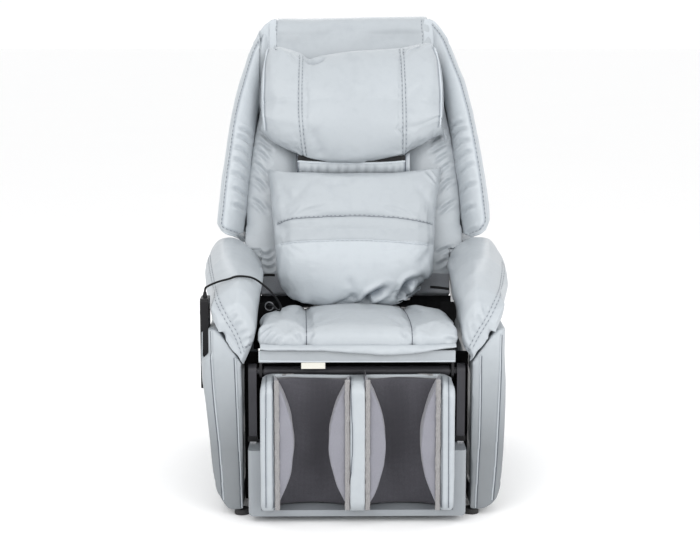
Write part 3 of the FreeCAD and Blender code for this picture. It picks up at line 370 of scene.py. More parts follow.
def readAll(items, name):
    values = np.empty(len(items) * 3, np.float32)
    items.foreach_get(name, values)
    return values.reshape(-1, 3)


def points(piece):
    return readAll(piece.data.vertices, "co")


def setPoints(piece, spots):
    piece.data.vertices.foreach_set("co", np.ascontiguousarray(spots, np.float32).ravel())
    piece.data.update()


def facing(piece):
    return readAll(piece.data.vertex_normals, "vector")


def skinOf(piece):
    mesh = bmesh.new()
    mesh.from_mesh(piece.data)
    tree = BVHTree.FromBMesh(mesh)
    mesh.free()
    return tree


def nearTree(spots):
    tree = KDTree(len(spots))
    for index, spot in enumerate(spots):
        tree.insert(spot, index)
    tree.balance()
    return tree


def smoothLine(corners, step):
    corners = [Vector(corner) for corner in corners]
    ends = [corners[0] * 2 - corners[1]] + corners + [corners[-1] * 2 - corners[-2]]
    line = []
    for index in range(1, len(ends) - 2):
        before, start, stop, after = ends[index - 1:index + 3]
        count = max(1, round((stop - start).length / step))
        for part in range(count):
            t = part / count
            line.append(0.5 * (2 * start + (stop - before) * t + (2 * before - 5 * start + 4 * stop - after) * t * t
                               + (3 * start - before - 3 * stop + after) * t * t * t))
    line.append(corners[-1])
    return line


def evened(spots, rounds):
    spots = [Vector(spot) for spot in spots]
    for turn in range(rounds):
        middle = [(spots[i - 1] + spots[i] * 2 + spots[i + 1]) / 4 for i in range(1, len(spots) - 1)]
        spots = [spots[0]] + middle + [spots[-1]]
    return spots


def keepTogether(spots, gap):
    runs = [[]]
    for spot in spots:
        if runs[-1] and (spot[0] - runs[-1][-1][0]).length > gap:
            runs.append([])
        runs[-1].append(spot)
    return max(runs, key=len)


# Where the camera's lines through these pixels meet the skin
def trace(tree, pixels, gap=0.02):
    line = smoothLine([pixel + (0,) for pixel in pixels], 1.2)
    eye = camera.matrix_world.translation
    hits = [tree.ray_cast(eye, sight(spot)) for spot in line]
    return keepTogether([(hit[0], hit[1]) for hit in hits if hit[0]], gap)


def traceAll(tree, lines):
    return [trace(tree, line) for line in lines]


def onSkin(tree, row, step=0.004, rounds=4):
    if len(row) < 3:
        return []
    line = smoothLine(evened([spot[0] for spot in row], rounds), step)
    return [tree.find_nearest(spot)[:2] for spot in line]


def seamOn(tree, pixels, gap=0.02):
    return onSkin(tree, trace(tree, pixels, gap))


def ahead(row, index):
    return row[min(index + 2, len(row) - 1)][0] - row[max(index - 2, 0)][0]


def beside(row, tree, offset):
    moved = []
    for index, (spot, out) in enumerate(row):
        moved.append((spot + out.cross(ahead(row, index)).normalized() * offset, out))
    return onSkin(tree, moved)


# Shifts a piece's outline, as the camera sees it, to a line of pixels; the pivot row or column stays
def fitEdge(piece, line, pivot, across=True, most=0.022):
    unseen, fade = -1e6, 7.0
    spots = points(piece).astype(float)
    view = np.array(camera.matrix_world.inverted())
    seen = spots @ view[:3, :3].T + view[:3, 3]
    depth = -seen[:, 2]
    column = shot["middle"][0] + shot["focal"] * seen[:, 0] / depth
    row = shot["middle"][1] - shot["focal"] * seen[:, 1] / depth
    main, along = (column, row) if across else (row, column)
    places, goal = zip(*sorted((spot[1], spot[0]) if across else spot for spot in line))
    side = 1 if np.mean(goal) > pivot else -1
    bins = np.arange(math.floor(places[0]), math.ceil(places[-1]) + 1)
    which = np.round(along - bins[0]).astype(int)
    inside = (which >= 0) & (which < len(bins))
    edge = np.full(len(bins), unseen)
    np.maximum.at(edge, which[inside], side * main[inside])
    padded = np.pad(edge, 2, mode="edge")
    edge = np.max([padded[k:k + len(bins)] for k in range(5)], 0)
    good = edge > unseen / 10
    edge = side * np.interp(bins, bins[good], edge[good])
    shift = np.interp(bins, places, goal) - edge
    shift = np.convolve(np.pad(shift, 3, mode="edge"), np.ones(7) / 7, "valid")
    outside = np.maximum(0, np.maximum(bins[0] - along, along - bins[-1]))
    weight = np.clip((main - pivot) / (np.interp(along, bins, edge) - pivot), 0, 1)
    weight = weight * weight * (3 - 2 * weight) * np.clip(1 - outside / fade, 0, 1)
    move = np.interp(along, bins, shift) * weight * depth / shot["focal"]
    way = np.array(camera.matrix_world.col[0][:3]) if across else -np.array(camera.matrix_world.col[1][:3])
    setPoints(piece, spots + np.clip(move, -most, most)[:, None] * way)


# The same for several edges of one piece, each given as its name in facts and its pivot
def fitEdges(piece, facts, across, down=()):
    for name, pivot in across:
        fitEdge(piece, facts[name], pivot)
    for name, pivot in down:
        fitEdge(piece, facts[name], pivot, False)


# Presses lines into a skin: how deep, how wide, how dark the groove's painted shade, and the ridge beside a fold
def press(piece, lines, deep, wide, dark, ridge=0.0):
    if "paintedShade" not in piece.data.attributes:
        piece.data.attributes.new("paintedShade", "FLOAT", "POINT")
    paintedShade = np.empty(len(piece.data.vertices), np.float32)
    piece.data.attributes["paintedShade"].data.foreach_get("value", paintedShade)
    spots = points(piece)
    away = facing(piece)
    marks = []
    for line in lines:
        for index, (spot, out) in enumerate(line):
            ends = min(1.0, 3.3 * (index + 1) / len(line), 3.3 * (len(line) - index) / len(line))
            marks.append((spot, out, ends if ridge else 1.0))
    if not marks:
        return
    tree = nearTree([mark[0] for mark in marks])
    reach = wide * (4.5 if ridge else 3)
    low = np.min([mark[0] for mark in marks], 0) - reach
    high = np.max([mark[0] for mark in marks], 0) + reach
    for index in np.nonzero(np.all((spots > low) & (spots < high), 1))[0]:
        spot, which, distance = tree.find(spots[index])
        if distance < reach and np.dot(away[index], marks[which][1]) > 0.2:
            groove = math.exp(-(distance / wide) ** 2)
            lift = ridge * math.exp(-((distance - 2.1 * wide) / (0.9 * wide)) ** 2)
            spots[index] -= away[index] * deep * (groove - lift) * marks[which][2]
            # The groove's painted shade is stored on the point
            paintedShade[index] = max(paintedShade[index], dark * groove * marks[which][2])
    setPoints(piece, spots)
    piece.data.attributes["paintedShade"].data.foreach_set("value", paintedShade)


# Soft uneven swelling over the whole skin; another seed gives other waves
def swell(piece, size, deep, seed):
    spots = points(piece)
    away = facing(piece)
    shift = Vector((seed, seed, seed))
    lift = np.array([noise.noise(Vector(spot) / size + shift) for spot in spots], np.float32)
    setPoints(piece, spots + away * (lift * deep)[:, None])


puff = {"pressure": 3.5, "heldReach": 0.006, "frames": 20, "stretch": 12, "shear": 4, "bend": 0.4, "quality": 5}


def inflate(piece, rows, most):
    pick(piece)
    tree = nearTree([spot for row in rows for spot, out in row])
    held = [v.index for v in piece.data.vertices if tree.find(v.co)[2] < puff["heldReach"]]
    piece.vertex_groups.new(name="held").add(held, 1.0, "REPLACE")
    start = points(piece)
    cloth = piece.modifiers.new("Cloth", "CLOTH")
    cloth.settings.vertex_group_mass = "held"
    cloth.settings.use_pressure = True
    cloth.settings.uniform_pressure_force = puff["pressure"]
    cloth.settings.effector_weights.gravity = 0
    cloth.settings.tension_stiffness = puff["stretch"]
    cloth.settings.compression_stiffness = puff["stretch"]
    cloth.settings.shear_stiffness = puff["shear"]
    cloth.settings.bending_stiffness = puff["bend"]
    cloth.settings.quality = puff["quality"]
    cloth.collision_settings.use_collision = False
    cloth.point_cache.frame_start = 1
    cloth.point_cache.frame_end = puff["frames"]
    for moment in range(1, puff["frames"] + 1):
        scene.frame_set(moment)
    bpy.ops.object.modifier_apply(modifier="Cloth")
    scene.frame_set(1)
    piece.vertex_groups.clear()
    moved = points(piece) - start
    length = np.linalg.norm(moved, axis=1, keepdims=True)
    setPoints(piece, start + moved * np.minimum(1.0, most / np.maximum(length, 1e-6)))


def finish(piece, body, look, smooth=True):
    piece.data.materials.clear()
    piece.data.materials.append(look)
    pick(piece)
    if smooth:
        bpy.ops.object.shade_smooth()
    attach(piece, body)
    return piece


# Ends a padded skin that stands for a node
def dress(piece, body, node, slot="light_leather", look=None):
    finish(piece, body, look or looks[slot])
    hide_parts(node)
    return skinOf(piece)


# A stitch is modelled once and copied along its seam

stitch = {"long": 0.0068, "gap": 0.0030, "thick": 0.00062, "lift": 0.0003}


def modelStitch():
    bpy.ops.object.select_all(action="DESELECT")
    bpy.ops.mesh.primitive_uv_sphere_add(segments=6, ring_count=4, radius=1.0)
    model = bpy.context.object
    bpy.ops.object.mode_set(mode="EDIT")
    bpy.ops.mesh.select_all(action="SELECT")
    bpy.ops.transform.rotate(value=math.pi / 2, orient_axis="Y", center_override=(0, 0, 0))
    bpy.ops.transform.resize(value=(stitch["long"] / 2, stitch["thick"], stitch["thick"] * 0.8))
    bpy.ops.object.mode_set(mode="OBJECT")
    spots = points(model).copy()
    faces = [tuple(face.vertices) for face in model.data.polygons]
    bpy.data.objects.remove(model)
    return spots, faces


stitchSpots, stitchFaces = modelStitch()


def strew(name, rows, body, look=threadLook):
    spots, faces = [], []
    for row in rows:
        walked, due = 0.0, stitch["gap"]
        for index in range(1, len(row)):
            here, out = row[index]
            step = here - row[index - 1][0]
            walked += step.length
            if walked < due or step.length < 1e-5:
                continue
            due = walked + stitch["long"] + stitch["gap"]
            along = step.normalized()
            aside = out.cross(along).normalized()
            turn = np.array([along, aside, along.cross(aside)], np.float32)
            base = len(spots) * len(stitchSpots)
            spots.append(stitchSpots @ turn + np.array(here + out * stitch["lift"], np.float32))
            faces += [tuple(corner + base for corner in face) for face in stitchFaces]
    return finish(fromFaces(name, np.concatenate(spots).tolist(), faces), body, look)


def newCurve(name, radius, sides):
    curve = bpy.data.curves.new(name, "CURVE")
    curve.dimensions = "3D"
    curve.bevel_depth = radius
    curve.bevel_resolution = sides
    curve.use_fill_caps = True
    return curve


def addSpline(curve, kind, spots):
    spline = curve.splines.new(kind)
    spline.points.add(len(spots) - 1)
    for point, spot in zip(spline.points, spots):
        point.co = tuple(spot) + (1.0,)
    return spline


def tube(name, rows, radius, body, look=pipingLook, sides=2):
    curve = newCurve(name, radius, sides)
    for row in rows:
        if len(row) > 2:
            addSpline(curve, "POLY", [spot for spot, out in row])
    holder = linked(name, curve)
    bpy.context.view_layer.update()
    mesh = bpy.data.meshes.new_from_object(holder.evaluated_get(bpy.context.evaluated_depsgraph_get()))
    bpy.data.objects.remove(holder)
    return finish(linked(name, mesh), body, look)


# A thin dark cord lies in the bottom of a seam, for its thread and for the shade in its gap: partly painted shade
def seamShadeLine(name, rows, body, radius):
    return tube(name, rows, radius, body, threadLook, 1)


# A flat strip along a row, lying on the skin, with a crowned middle
def ribbon(name, rows, tree, wide, thick, body, look, slot="light_leather"):
    spots, faces = [], []
    for row in rows:
        base = len(spots)
        for index, (here, out) in enumerate(row):
            side = out.cross(ahead(row, index)).normalized()
            for place, crown in ((-0.5, 0.0), (-0.25, 0.7), (0.25, 0.7), (0.5, 0.0)):
                found = tree.find_nearest(here + side * wide * place)
                spots.append(tuple(found[0] + out * (0.0004 + crown * thick)))
        for index in range(len(row) - 1):
            first = base + index * 4
            faces += [(corner, corner + 4, corner + 5, corner + 1) for corner in range(first, first + 3)]
    piece = modify(fromFaces(name, spots, faces), "SOLIDIFY", thickness=thick, offset=-1)
    return finish(subdivide(piece), body, look)


# Remote control cord, from the remote's nub to the grommet

cordFacts = {"length": 0.4809, "diameter": 0.005, "exit": (-0.3528, -0.364, 0.524)}
cordRoute = [
    (-0.3528, -0.3640, 0.5240), (-0.3528, -0.3640, 0.5330), (-0.3455, -0.3620, 0.5376), (-0.3315, -0.3620, 0.5442),
    (-0.3152, -0.3620, 0.5498), (-0.2966, -0.3620, 0.5540), (-0.2810, -0.3522, 0.5594), (-0.2616, -0.3364, 0.5563),
    (-0.2473, -0.3086, 0.5493), (-0.2345, -0.2900, 0.5394), (-0.2196, -0.2988, 0.5293), (-0.2068, -0.2968, 0.5181),
    (-0.1952, -0.2918, 0.5039), (-0.1861, -0.2828, 0.4879), (-0.1798, -0.2748, 0.4740), (-0.1805, -0.2648, 0.4630),
    (-0.1872, -0.2468, 0.4570), (-0.1960, -0.2034, 0.4570), (-0.2050, -0.1480, 0.4545), (-0.2130, -0.0980, 0.4480),
    (-0.2180, -0.0640, 0.4360),
]


def layCord():
    curve = newCurve("remoteCord", cordFacts["diameter"] / 2, 4)
    curve.resolution_u = 8
    spline = addSpline(curve, "NURBS", cordRoute)
    spline.order_u = 3
    spline.use_endpoint_u = True
    cord = linked("remoteCord", curve)
    curve.materials.append(looks["cable_jacket"])
    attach(cord, "chair_base")
    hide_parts("remote_cord")


layCord()
print("camera, light and cord placed")


# Wings of the back, with a bound edge, a seam and diagonal gathers

wings = {
    "cornerVoxel": 0.0025, "voxel": 0.0065, "waves": (0.09, 0.0014), "leftSeed": 3.0, "rightSeed": 8.0,
    "grooveCut": (0.0022, 0.003, 0.55), "foldCut": (0.0046, 0.0052, 0.10, 0.6), "bindingSize": (0.0095, 0.0016),
    "groove": 0.0055, "stitchIn": 0.0035, "stitchUp": 0.0022, "cornerLevel": (0.0, 0.347, 1.135),
    "cornerThick": 0.016, "bound": 3.4,
    "leftSide": [(275.5, 18.4), (271.4, 19.9), (264.3, 25), (259.2, 31.6), (252, 43.9), (246.9, 56.1), (240.8, 76.5),
        (234.7, 98), (230.6, 116.3), (227, 140), (221.5, 180), (218.3, 210), (217, 225.7)],
    "leftFoot": [(217.3, 227), (224, 233.4), (231.8, 236.2), (239.6, 239.5), (247.5, 244), (253, 248.4),
        (258.6, 254), (262, 258.5)],
    "rightSide": [(424.2, 23.5), (429.8, 18.9), (434.9, 21.4), (442, 29.6), (448.2, 38.8), (453.3, 51),
        (459.4, 66.3), (465.5, 81.6), (469.6, 96.9), (473.7, 112.2), (478.8, 137.8), (482.1, 156.8), (485.7, 179.1),
        (488.4, 201.4), (489.7, 214.8), (489.9, 222)],
    "rightFoot": [(449, 256), (450, 252), (455.4, 247.9), (464.3, 241.6), (473.2, 237.1), (482.1, 233.6),
        (489.6, 226)],
    "leftCorner": [(276.6, 19.6), (271.4, 20.8), (264.6, 25.9), (259.8, 32.2), (253.2, 43.9), (253, 56), (262, 64),
        (276.6, 56)],
    "rightCorner": [(423.6, 20.2), (429.8, 19.9), (434.5, 22.2), (441.4, 30.2), (447.4, 39.2), (450, 48), (440, 62),
        (423.6, 52)],
    "leftFolds": [[(256, 139), (247, 131), (238, 127)], [(255, 149), (245, 139), (234, 134)],
        [(253, 160), (243, 150), (231, 146)], [(251.5, 172), (242, 162), (230, 157)],
        [(250.5, 185), (241, 176), (230, 171)], [(249.5, 199), (240, 191), (232, 187)],
        [(248.5, 214), (240, 207), (233, 204)], [(246, 242), (238, 235), (230, 231)]],
    "rightFolds": [[(448, 131), (455, 124), (463, 121)], [(449, 141), (458, 131), (468, 128)],
        [(451, 152), (461, 142), (471, 139)], [(453, 164), (463, 154), (473, 150)],
        [(455, 178), (465, 167), (475, 162)], [(457.5, 197), (466, 187), (476, 182)],
        [(459.5, 216), (467, 209), (474, 206)], [(462, 240), (470, 232), (479, 228)]],
}


def inward(line, centre, offset):
    moved = []
    for index, spot in enumerate(line):
        course = Vector(line[min(index + 1, len(line) - 1)]) - Vector(line[max(index - 1, 0)])
        across = Vector((-course.y, course.x)).normalized()
        if across.dot(Vector(centre) - Vector(spot)) < 0:
            across = -across
        moved.append((spot[0] + across.x * offset, spot[1] + across.y * offset))
    return moved


def makeWing(side):
    way = -1 if side == "left" else 1
    name = side + "Wing"
    piece = subdivide(remesh(copyOf(name + "Skin", side + "_wing"), wings["voxel"], 3))
    fitEdge(piece, wings[side + "Side"][2:], 350 + 50 * way)
    fitEdge(piece, wings[side + "Foot"], 150, False, 0.034)
    fitEdge(piece, wings[side + "Side"][:4], 90, False)
    swell(piece, *wings["waves"], wings[side + "Seed"])
    press(piece, traceAll(skinOf(piece), wings[side + "Folds"]), *wings["foldCut"])
    edge = inward(wings[side + "Side"][1:], (350, 150), wings["bound"])
    edge += inward(wings[side + "Foot"][::-way][1:], (350, 100), wings["bound"])
    tree = skinOf(piece)
    bound = seamOn(tree, edge, 0.04)
    press(piece, [beside(bound, tree, -wings["groove"] * way)], *wings["grooveCut"])
    # Painted light: the wing takes the lighter copy of the leather
    tree = dress(piece, "back", side + "_wing", look=paintedLightLeatherLook)
    ribbon(name + "Binding", [bound], tree, *wings["bindingSize"], "back", bindingLook)
    inner = beside(bound, tree, -wings["stitchIn"] * way)
    strew(name + "Stitches", [[(spot + out * wings["stitchUp"], out) for spot, out in inner]], "back")


# Flat padded corner between the wing's roll and the flap, on the back's lean
def makeWingCorner(side):
    level = Vector(wings["cornerLevel"])
    lean = Vector((0.0, -math.cos(math.radians(20)), math.sin(math.radians(20))))
    eye = camera.matrix_world.translation
    shape = bmesh.new()
    rays = [sight(pixel) for pixel in wings[side + "Corner"]]
    shape.faces.new([shape.verts.new(eye + ray * ((level - eye).dot(lean) / ray.dot(lean))) for ray in rays])
    mesh = bpy.data.meshes.new(side + "WingCorner")
    shape.to_mesh(mesh)
    shape.free()
    piece = modify(linked(side + "WingCorner", mesh), "SOLIDIFY", thickness=wings["cornerThick"], offset=0)
    # Painted light: the corner takes the lighter copy of the leather
    finish(remesh(piece, wings["cornerVoxel"], 3), "back", paintedLightLeatherLook)


for side in ("left", "right"):
    makeWing(side)
    makeWingCorner(side)
print("wings made")


# Bolsters between the wings and the cushions, with grey cloth and webbing at their lower ends

back = {"lean": math.radians(20.0), "hinge": (0.150, 0.395)}
bolsters = {
    "voxel": 0.006, "waves": (0.07, 0.0016), "leftSeed": 5.0, "rightSeed": 2.0,
    "foldCut": (0.0046, 0.0050, 0.12, 0.6), "webSize": (0.008, 0.0018), "clothUpTo": 0.072, "lowSpread": 0.023,
    "leftMost": 0.2435, "rightMost": 0.252, "highMost": 0.286,
    "leftFolds": [[(270, 141), (263, 134), (258, 131)], [(272, 151), (264, 144), (257, 140)],
        [(270, 163), (262, 154), (255, 150)], [(268, 176), (260, 167), (253, 162)],
        [(267, 191), (260, 183), (252, 178)], [(267, 213), (259, 204), (251, 199)],
        [(273, 252), (266, 255.5), (259, 252)], [(274, 259), (268, 262), (262, 259)],
        [(274, 267), (269, 269), (264, 267)]],
    "rightFolds": [[(430, 143), (438, 136), (445, 132)], [(430, 153), (440, 147), (449, 142)],
        [(434, 163), (443, 156), (451, 152)], [(436, 175), (445, 167), (453, 162)],
        [(438, 192), (446, 183), (455, 178)], [(438, 214), (447, 206), (457, 200)],
        [(436, 254), (444, 250), (452, 247)], [(436, 266), (442, 263), (448, 259)]],
    "leftWeb": [(262, 275.6), (268, 274.8), (275, 275.2)],
    "rightWeb": [(430, 287), (438, 287.5), (449, 289)],
}


# How far up the back, and how far forward of its middle plane, the spots are
def upBack(spots):
    spots = np.array(spots)
    behind, above = spots[:, 1] - back["hinge"][0], spots[:, 2] - back["hinge"][1]
    return behind * math.sin(back["lean"]) + above * math.cos(back["lean"])


def outBack(spots):
    spots = np.array(spots)
    before, above = back["hinge"][0] - spots[:, 1], spots[:, 2] - back["hinge"][1]
    return before * math.cos(back["lean"]) + above * math.sin(back["lean"])


# A second look on the faces below a height up the back
def lowLook(piece, look, height):
    piece.data.materials.append(look)
    low = upBack([face.center for face in piece.data.polygons]) < height
    piece.data.polygons.foreach_set("material_index", low.astype(np.int32))


def bringForward(piece, lift):
    spots = points(piece)
    way = np.array((0.0, -math.cos(back["lean"]), math.sin(back["lean"])))
    setPoints(piece, spots + lift(upBack(spots), outBack(spots))[:, None] * way)


def makeBolster(side):
    name = side + "Bolster"
    piece = subdivide(remesh(copyOf(name + "Skin", side + "_bolster"), bolsters["voxel"], 3))
    spots = points(piece)
    out, up = np.abs(spots[:, 0]), upBack(spots)
    spread = np.clip((out - 0.16) / 0.075, 0, 1) * np.clip((0.205 - up) / 0.03, 0, 1) * bolsters["lowSpread"]
    most = np.where(up > 0.14, bolsters["highMost"], bolsters[side + "Most"])
    spots[:, 0] = np.sign(spots[:, 0]) * np.maximum(out, np.minimum(out + spread, most))
    setPoints(piece, spots)
    swell(piece, *bolsters["waves"], bolsters[side + "Seed"])
    press(piece, traceAll(skinOf(piece), bolsters[side + "Folds"]), *bolsters["foldCut"])
    tree = dress(piece, "back", side + "_bolster")
    lowLook(piece, greyClothLook, bolsters["clothUpTo"])
    ribbon(name + "Web", [seamOn(tree, bolsters[side + "Web"], 0.06)], tree, *bolsters["webSize"], "back", webLook)


makeBolster("left")
makeBolster("right")
print("bolsters made")


# Back pad behind the cushions, with its pocket

backPad = {
    "voxel": 0.006, "waves": (0.08, 0.002, 1.0), "rucheCut": (0.004, 0.004, 0.15, 0.6),
    "edgeCut": (0.004, 0.004, 0.9), "bandSize": (0.016, 0.001), "hemSize": (0.0055, 0.0022), "fullness": 0.052,
    "hem": [(297.5, 161.6), (315, 162.6), (350, 163.4), (385, 163), (405.5, 161.4)],
    "band": [(297.5, 157.5), (315, 158.5), (350, 159.4), (385, 159), (405.5, 157.4)],
    "edges": [[(297.4, 150), (297.6, 162), (297.8, 176)], [(405.7, 150), (405.5, 162), (405.3, 176)]],
    "ruches": [303, 311, 318, 327, 338, 346, 357, 366, 374, 385, 392, 399],
}


def makeBackPad():
    piece = remesh(copyOf("backPadSkin", "back_pad"), backPad["voxel"], 2)
    bringForward(piece, lambda up, out: backPad["fullness"] * np.exp(-((up - 0.366) / 0.040) ** 4)
                 * np.clip((out - 0.02) / 0.05, 0, 1))
    swell(piece, *backPad["waves"])
    tree = skinOf(piece)
    ruches = [[(x, 164.5), (x + 0.6, 169), (x - 0.4, 176)] for x in backPad["ruches"]]
    press(piece, traceAll(tree, ruches), *backPad["rucheCut"])
    press(piece, traceAll(tree, backPad["edges"]), *backPad["edgeCut"])
    tree = dress(piece, "back", "back_pad")
    ribbon("backPadBand", [seamOn(tree, backPad["band"])], tree, *backPad["bandSize"], "back", webLook)
    ribbon("backPadHem", [seamOn(tree, backPad["hem"])], tree, *backPad["hemSize"], "back", pipingLook)
    seamShadeLine("backPadSeams", [seamOn(tree, edge) for edge in backPad["edges"]], "back", 0.0013)


makeBackPad()


# Flap over the top of the back

headFlap = {
    "voxel": 0.006, "waves": (0.07, 0.002, 6.0), "hollowCut": (0.006, 0.018, 0.05),
    "seamCut": (0.0012, 0.003, 0.3),
    "seams": [[(277.0, 22), (276.6, 34), (276.8, 50)], [(421.4, 20), (422, 32), (423, 48)]],
    "top": [(274.8, 18.8), (300, 18.4), (350, 17.6), (400, 16.9), (423.4, 16.6)],
    "hollows": [[(280, 40), (300, 42), (322, 37), (334, 30), (348, 27)],
        [(372, 40), (385, 37), (400, 36), (418, 37)]],
}


def makeHeadFlap():
    piece = subdivide(remesh(copyOf("headFlapSkin", "head_flap"), headFlap["voxel"], 2))
    fitEdge(piece, headFlap["top"], 60, False)
    swell(piece, *headFlap["waves"])
    tree = skinOf(piece)
    press(piece, traceAll(tree, headFlap["hollows"]), *headFlap["hollowCut"])
    seams = traceAll(tree, headFlap["seams"])
    press(piece, seams, *headFlap["seamCut"])
    tree = dress(piece, "back", "head_flap")
    strew("headFlapStitches", [onSkin(tree, seam) for seam in seams], "back")


makeHeadFlap()
print("back pad and flap made")


# Head pillow

headPillow = {
    "voxel": 0.0055, "waves": (0.08, 0.0016, 9.0), "seamCut": (0.0016, 0.0026, 0.35),
    "endCut": (0.0022, 0.003, 0.6), "foldCut": (0.006, 0.008, 0.25, 0.3), "dentCut": (0.004, 0.016, 0.05),
    "stripSize": (0.0066, 0.0008), "most": 0.016,
    "left": [(270.5, 47.5), (265.5, 52), (262.6, 66), (261, 85), (260.5, 105), (261, 122), (261.8, 129)],
    "right": [(435, 45.2), (438.5, 54), (441.6, 68), (443.4, 85), (443.9, 105), (443, 122), (440.8, 130)],
    "top": [(270, 48), (276.7, 46.4), (284, 47.4), (303, 53.4), (309, 58.5), (320, 55.6), (350, 50.8), (398.4, 48.1),
        (429.2, 41.8), (434, 44.4)],
    "bottom": [(263, 132), (267.3, 138.3), (279.8, 147.4), (298, 154.9), (311.3, 159), (329.5, 161.9), (360, 163.3),
        (376.8, 160.4), (403.6, 155), (417, 147.9), (430.4, 139.8), (439, 132.5)],
    "seams": [[(301.5, 54), (300.8, 70), (300.2, 90), (300.4, 115), (302.5, 140), (304.8, 157)],
        [(401.5, 49), (403, 70), (404, 95), (404.6, 120), (404.6, 140), (404.4, 154)]],
    "ends": [[(267.5, 50), (264.4, 66), (263.2, 90), (263.2, 110), (264.8, 130)],
        [(434.6, 48), (438.4, 62), (440.8, 85), (441.2, 105), (440.2, 127)]],
    "fold": [(304, 54), (308, 61), (316, 62), (326, 57)],
    "dents": [[(349, 55), (352, 70), (350, 86)], [(313, 134), (317, 143), (320, 151)]],
}


def makeHeadPillow():
    piece = remesh(copyOf("headPillowSkin", "head_pillow"), headPillow["voxel"], 2)
    inflate(piece, traceAll(skinOf(piece), headPillow["seams"]), headPillow["most"])
    subdivide(piece)
    for turn in range(2):
        fitEdges(piece, headPillow, [("left", 345), ("right", 355)], [("top", 100), ("bottom", 106)])
    swell(piece, *headPillow["waves"])
    tree = skinOf(piece)
    seams = [seamOn(tree, seam) for seam in headPillow["seams"]]
    ends = [seamOn(tree, end) for end in headPillow["ends"]]
    rows = []
    for seam in seams:
        rows += [beside(seam, tree, 0.0048), beside(seam, tree, -0.0048)]
    press(piece, rows, *headPillow["seamCut"])
    press(piece, [beside(ends[0], tree, 0.005), beside(ends[1], tree, -0.005)], *headPillow["endCut"])
    press(piece, [trace(tree, headPillow["fold"])], *headPillow["foldCut"])
    press(piece, traceAll(tree, headPillow["dents"]), *headPillow["dentCut"])
    tree = dress(piece, "back", "head_pillow")
    strew("headPillowStitches", [onSkin(tree, row) for row in rows], "back")
    ribbon("headPillowStrips", [onSkin(tree, seam) for seam in seams], tree, *headPillow["stripSize"], "back",
           bindingLook)
    tube("headPillowPiping", [onSkin(tree, end) for end in ends], 0.0026, "back")


makeHeadPillow()
print("head pillow made")


# Lumbar cushion

lumbar = {
    "voxel": 0.006, "waves": (0.09, 0.0022, 4.0), "seamCut": (0.0022, 0.004, 0.30),
    "deepCut": (0.017, 0.0085, 0.9, 0.35), "dentCut": (0.0035, 0.013, 0.05), "earCut": (0.004, 0.005, 0.35, 0.6),
    "most": 0.018,
    "left": [(266.7, 169.1), (269, 184), (271.5, 202.4), (273.3, 226.6), (275.1, 250.9), (276.4, 275), (281, 288),
        (286, 296.9), (294, 301.5), (303, 305.5)],
    "right": [(441.2, 168.5), (439.3, 184.2), (435.7, 208.5), (434.5, 227.9), (433.9, 250.9), (433.3, 272.7),
        (430.5, 279), (427.2, 283), (422, 289), (415, 296), (405, 303)],
    "top": [(267, 168.6), (280, 170.6), (296.4, 172.1), (332.7, 173.3), (360.6, 173), (390.9, 172.7), (411.5, 170.3),
        (427.2, 169), (441, 168)],
    "bottom": [(290, 299), (302, 304), (330, 306), (370, 306), (398, 304.5), (410, 299), (424, 287)],
    "upperSeam": [(276.5, 224.2), (290.3, 219.4), (308.5, 217.6), (344.8, 216), (375.1, 216.3), (405.4, 218.8),
        (433, 224.2)],
    "lowerSeam": [(280.6, 243.6), (302.4, 241.2), (332.7, 240), (363, 239.7), (393.3, 241.2), (429.6, 244.8)],
    "deepFolds": [[(356, 307), (364, 301), (374, 295), (388.4, 287.2)],
        [(398.6, 305), (400, 297), (404, 289), (410, 283), (419, 280.2)]],
    "dents": [[(282, 188), (290, 198), (297, 196)], [(318, 179), (330, 184), (342, 183), (352, 178)],
        [(279, 226), (284, 233), (281, 240)], [(420, 190), (428, 202), (431, 216)],
        [(350, 283), (352, 289), (351, 297)], [(286, 205), (296, 196), (306, 184)],
        [(421, 262), (429, 252), (432, 244)]],
    "ear": [(426, 170.5), (431, 176), (437, 183)],
}


def makeLumbar():
    piece = remesh(copyOf("lumbarSkin", "lumbar_cushion"), lumbar["voxel"], 2)
    inflate(piece, traceAll(skinOf(piece), [lumbar["upperSeam"], lumbar["lowerSeam"]]), lumbar["most"])
    subdivide(piece)
    bringForward(piece, lambda up, out: 0.024 * np.clip((0.26 - up) / 0.22, 0, 1) * np.clip(out / 0.12, 0, 1))
    for turn in range(2):
        fitEdges(piece, lumbar, [("left", 340), ("right", 360)], [("top", 230)])
        fitEdge(piece, lumbar["bottom"], 262, False, 0.030)
    swell(piece, *lumbar["waves"])
    tree = skinOf(piece)
    upper = seamOn(tree, lumbar["upperSeam"])
    lower = seamOn(tree, lumbar["lowerSeam"])
    press(piece, [upper, lower], *lumbar["seamCut"])
    press(piece, traceAll(tree, lumbar["deepFolds"]), *lumbar["deepCut"])
    press(piece, traceAll(tree, lumbar["dents"]), *lumbar["dentCut"])
    press(piece, [trace(tree, lumbar["ear"])], *lumbar["earCut"])
    tree = dress(piece, "back", "lumbar_cushion")
    # Painted light: below the lower seam the lumbar takes the lighter copy of the leather
    lowLook(piece, paintedLightLeatherLook, np.mean(upBack([spot for spot, out in lower])))
    upper = onSkin(tree, upper)
    lower = onSkin(tree, lower)
    strew("lumbarStitches", [beside(upper, tree, 0.0028)], "back")
    strew("lumbarLightStitches", [beside(lower, tree, -0.0026)], "back", lightThreadLook)
    tube("lumbarPiping", [lower], 0.0012, "back")
    seamShadeLine("lumbarSeam", [upper], "back", 0.0007)


makeLumbar()
print("lumbar cushion made")


# Seat cushion in three sections, its loose hem, and the apron with its hem and tab

